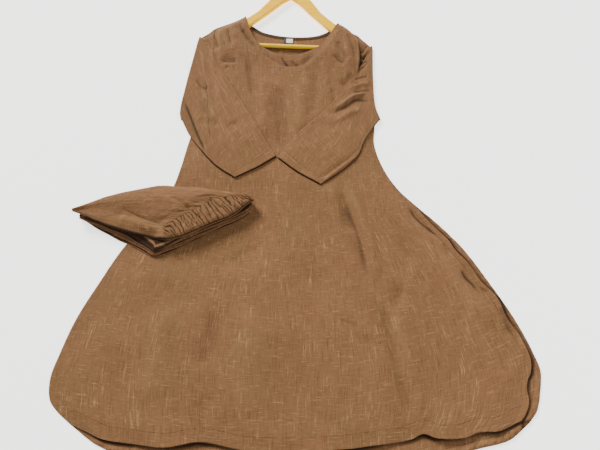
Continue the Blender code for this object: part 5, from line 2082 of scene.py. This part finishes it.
    def build_top_leg(self, below: BVHTree) -> Object:
        """The top leg, whose gathers run out of the waistband and fade.

        Args:
            below: the layers that it lies on.

        Returns:
            The new object.
        """
        across, along = spaced(121, 0.004), spaced(181, 0.003)
        plan = self.leg_plan(across, along)
        x, y = plan[..., 0], plan[..., 1]
        solid = tree_of(self.nodes["palazzo_leg_upper"])
        top = soften(fill_gaps(ray_heights(solid, x, y)), 4)
        under = soften(fill_gaps(ray_heights(solid, x, y, upwards=True)), 3)
        v, u = np.meshgrid(across, along)
        band_s = np.clip((v - self.band_corner) / (1.0 - self.band_corner), 0.0, 1.0)
        from_band = (1.0 - u) * self.leg_length
        # Past the band's left end the gathers run on from that end
        at_end = v < self.band_corner
        beside = self.gathered(band_s, 1.0 + from_band / 0.045)
        puffs = np.where(at_end, self.gathered(-from_band / 0.26, v / self.band_corner), beside)
        reach = 0.008 + 0.019 * np.abs(np.sin(band_s * 23.0 + 1.0)) ** 1.5
        fade = np.exp(-from_band / np.where(at_end, 0.014, reach)) * smoothstep(0.0, 0.03, v)
        puff_height = 0.75 * self.gather_height
        at_band = self.band_top + 0.60 * self.band_half + 0.55 * puff_height
        join = smoothstep(0.88, 1.0, u)
        top = top * (1.0 - join) + at_band * join
        top = top + (puffs - 0.55) * puff_height * fade + crease_sum(LEG_CREASES, x, y)
        edge = np.minimum(np.minimum(v, 1.0 - v) * 0.13, np.minimum(u, 1.0 - u) * 0.40)
        inside = np.clip(edge / 0.004, 0.0, 1.0)
        round_off = 1.0 - np.sqrt(np.clip(1.0 - (1.0 - inside) ** 2, 0.0, 1.0))
        round_off *= 1.0 - smoothstep(0.95, 0.985, u)
        under = np.maximum(under, np.nan_to_num(ray_heights(below, x, y), nan=0.0) + 0.0004)
        top = np.maximum(top - (top - under) * 0.7 * round_off, under + self.cloth)
        length = np.linalg.norm(np.diff(plan[:, 60], axis=0), axis=1).sum()
        uv = np.stack([v * 0.14 + 5.0, u * length], axis=-1)
        # Painted shade in the gathers' valleys and the creases, a painted highlight on the puffs, and a
        # painted shadow along the near edge
        valleys = np.clip((0.62 - puffs) / 0.5, -0.5, 1.0) * fade
        painted_light = np.maximum(0.8 * hollows(top, 0.0016), valleys)
        painted_light = np.maximum(painted_light, 1.0 - smoothstep(0.0, 0.035, v))
        return shell("top_leg_cloth", x, y, top, under, uv, painted_light)


@dataclass
class Hanger:
    """Flat wooden clothes hanger with a round trouser bar and a wire hook."""

    arms_turn: float = 0.9
    bar_turn: float = math.radians(-3.0)

    def dress_nodes(self, nodes: dict[str, Object]) -> None:
        """Lacquer the wood and plate the wire.

        Args:
            nodes: the frame's own objects by name.
        """
        dress(nodes["hanger_arms"], LacqueredWood("lacquered_beech_arms", self.arms_turn).build())
        # The bar's lacquer is a lighter copy of the arms': painted light that offsets the shade falling
        # on it from the neck
        bar = LacqueredWood("lacquered_beech_bar_painted_light", self.bar_turn, tint="#FFD434", grain="#FFC21A")
        dress(nodes["hanger_bar"], bar.build())
        dress(nodes["hanger_hook"], PlatedWire("zinc_plated_wire").build())


@dataclass
class Studio:
    """Pale floor, soft light and the photograph's camera."""

    floor_size: float = 9.0
    # The floor lies just under the cloth
    floor_level: float = -0.0006
    key_power: float = 1800.0
    fill_power: float = 26.0
    sky: str = "#FFFFFF"
    sky_strength: float = 0.50

    def build_floor(self) -> None:
        """A wide floor just under the cloth."""
        bpy.ops.object.select_all(action="DESELECT")
        bpy.ops.mesh.primitive_plane_add(size=self.floor_size, location=(0.0, 0.0, self.floor_level))
        floor = bpy.context.object
        floor.name = "studio_floor"
        bpy.ops.object.transform_apply(location=True, rotation=True, scale=True)
        dress(floor, PaleFloor().build())

    def add_light(
        self, name: str, place: tuple[float, float, float], size: float, power: float
    ) -> None:
        """A square soft light that looks at the garment.

        Args:
            name: its name.
            place: where it hangs.
            size: its side.
            power: its strength in watts.
        """
        data = bpy.data.lights.new(name, "AREA")
        data.size = size
        data.energy = power
        light = bpy.data.objects.new(name, data)
        light.location = place
        light.rotation_euler = (-Vector(place)).to_track_quat("-Z", "Y").to_euler()
        bpy.context.scene.collection.objects.link(light)

    def build_lights(self) -> None:
        """A low key beyond the left shoulder, a fill at the side, and an even sky."""
        self.add_light("key_light", (-5.0, 6.9, 4.9), 3.0, self.key_power)
        self.add_light("fill_light", (1.8, -0.6, 1.6), 1.6, self.fill_power)
        world = bpy.data.worlds.new("studio_sky")
        world.use_nodes = True
        background = world.node_tree.nodes["Background"]
        background.inputs["Color"].default_value = linear(self.sky)
        background.inputs["Strength"].default_value = self.sky_strength
        bpy.context.scene.world = world

    def build_camera(self) -> None:
        """The camera that took the photograph."""
        data = bpy.data.cameras.new("photo_camera")
        data.sensor_width = VIEW.sensor_mm
        data.lens = VIEW.focal_pixels / VIEW.width * VIEW.sensor_mm
        camera = bpy.data.objects.new("photo_camera", data)
        camera.location = (0.0, VIEW.camera_y, VIEW.camera_height)
        camera.rotation_euler = (math.pi / 2.0 - VIEW.pitch, 0.0, 0.0)
        bpy.context.scene.collection.objects.link(camera)
        bpy.context.scene.camera = camera


def settle_piece(obj: Object, node: str, material: Material) -> None:
    """Ride, replace, dress and report one piece.

    Args:
        obj: the new piece.
        node: the CAD node that it stands for.
        material: its finish.
    """
    dress(obj, material)
    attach(obj, BODY)
    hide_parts(node)
    LOG.info("%s: %d faces", obj.name, len(obj.data.polygons))


def corners(box: object) -> list[list[float]]:
    """A box's corners as plain lists."""
    return [[float(value) for value in corner] for corner in box]


def main() -> None:
    """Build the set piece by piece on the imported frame."""
    logging.basicConfig(level=logging.INFO, format="%(message)s")
    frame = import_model()
    nodes = frame["nodes"]
    bpy.ops.object.select_all(action="DESELECT")
    studio = Studio()
    studio.build_camera()
    studio.build_floor()
    studio.build_lights()

    cotton = SlubCotton("slub_cotton_taupe").build()
    # A darker copy of the same cotton for the neck facing: painted shade, for the shade inside the neck
    inside = SlubCotton(
        "slub_cotton_painted_shade", ground="#4A3524", olive="#46331F", slub="#66492F", shade="#33241A",
    ).build()

    kurta = Kurta(nodes=nodes)
    back = kurta.build_back()
    settle_piece(back, "kurta_back", cotton)
    facing = kurta.build_facing()
    settle_piece(facing, "back_neck_facing", inside)
    label = kurta.build_tag("neck_label_tape", kurta.label_left, kurta.label_size, 0.0006)
    settle_piece(label, "neck_label", WovenTape("white_woven_tape", "#E9E7E2").build())
    tab_left = kurta.label_left - kurta.gap - kurta.tab_size[0]
    tab = kurta.build_tag("size_tab_tape", tab_left, kurta.tab_size, 0.0004)
    settle_piece(tab, "size_tab", WovenTape("black_woven_tape", "#15161A").build())

    Hanger().dress_nodes(nodes)
    front = kurta.build_front(tree_of(nodes["hanger_arms"], nodes["hanger_bar"]))
    settle_piece(front, "kurta_front", cotton)
    front_tree = tree_of(front)
    for name, node, shape in (
        ("sleeve_left_cloth", "sleeve_left", LEFT_SLEEVE),
        ("sleeve_right_cloth", "sleeve_right", RIGHT_SLEEVE),
    ):
        sleeve = kurta.build_sleeve(name, shape, front_tree)
        settle_piece(sleeve, node, cotton)

    packet = PalazzoPacket(nodes=nodes)
    stack = packet.build_stack(front_tree)
    settle_piece(stack, "palazzo_leg_lower", cotton)
    band = packet.build_band()
    settle_piece(band, "palazzo_waistband", cotton)
    leg = packet.build_top_leg(tree_of(stack))
    settle_piece(leg, "palazzo_leg_upper", cotton)


if __name__ == "__main__":
    main()
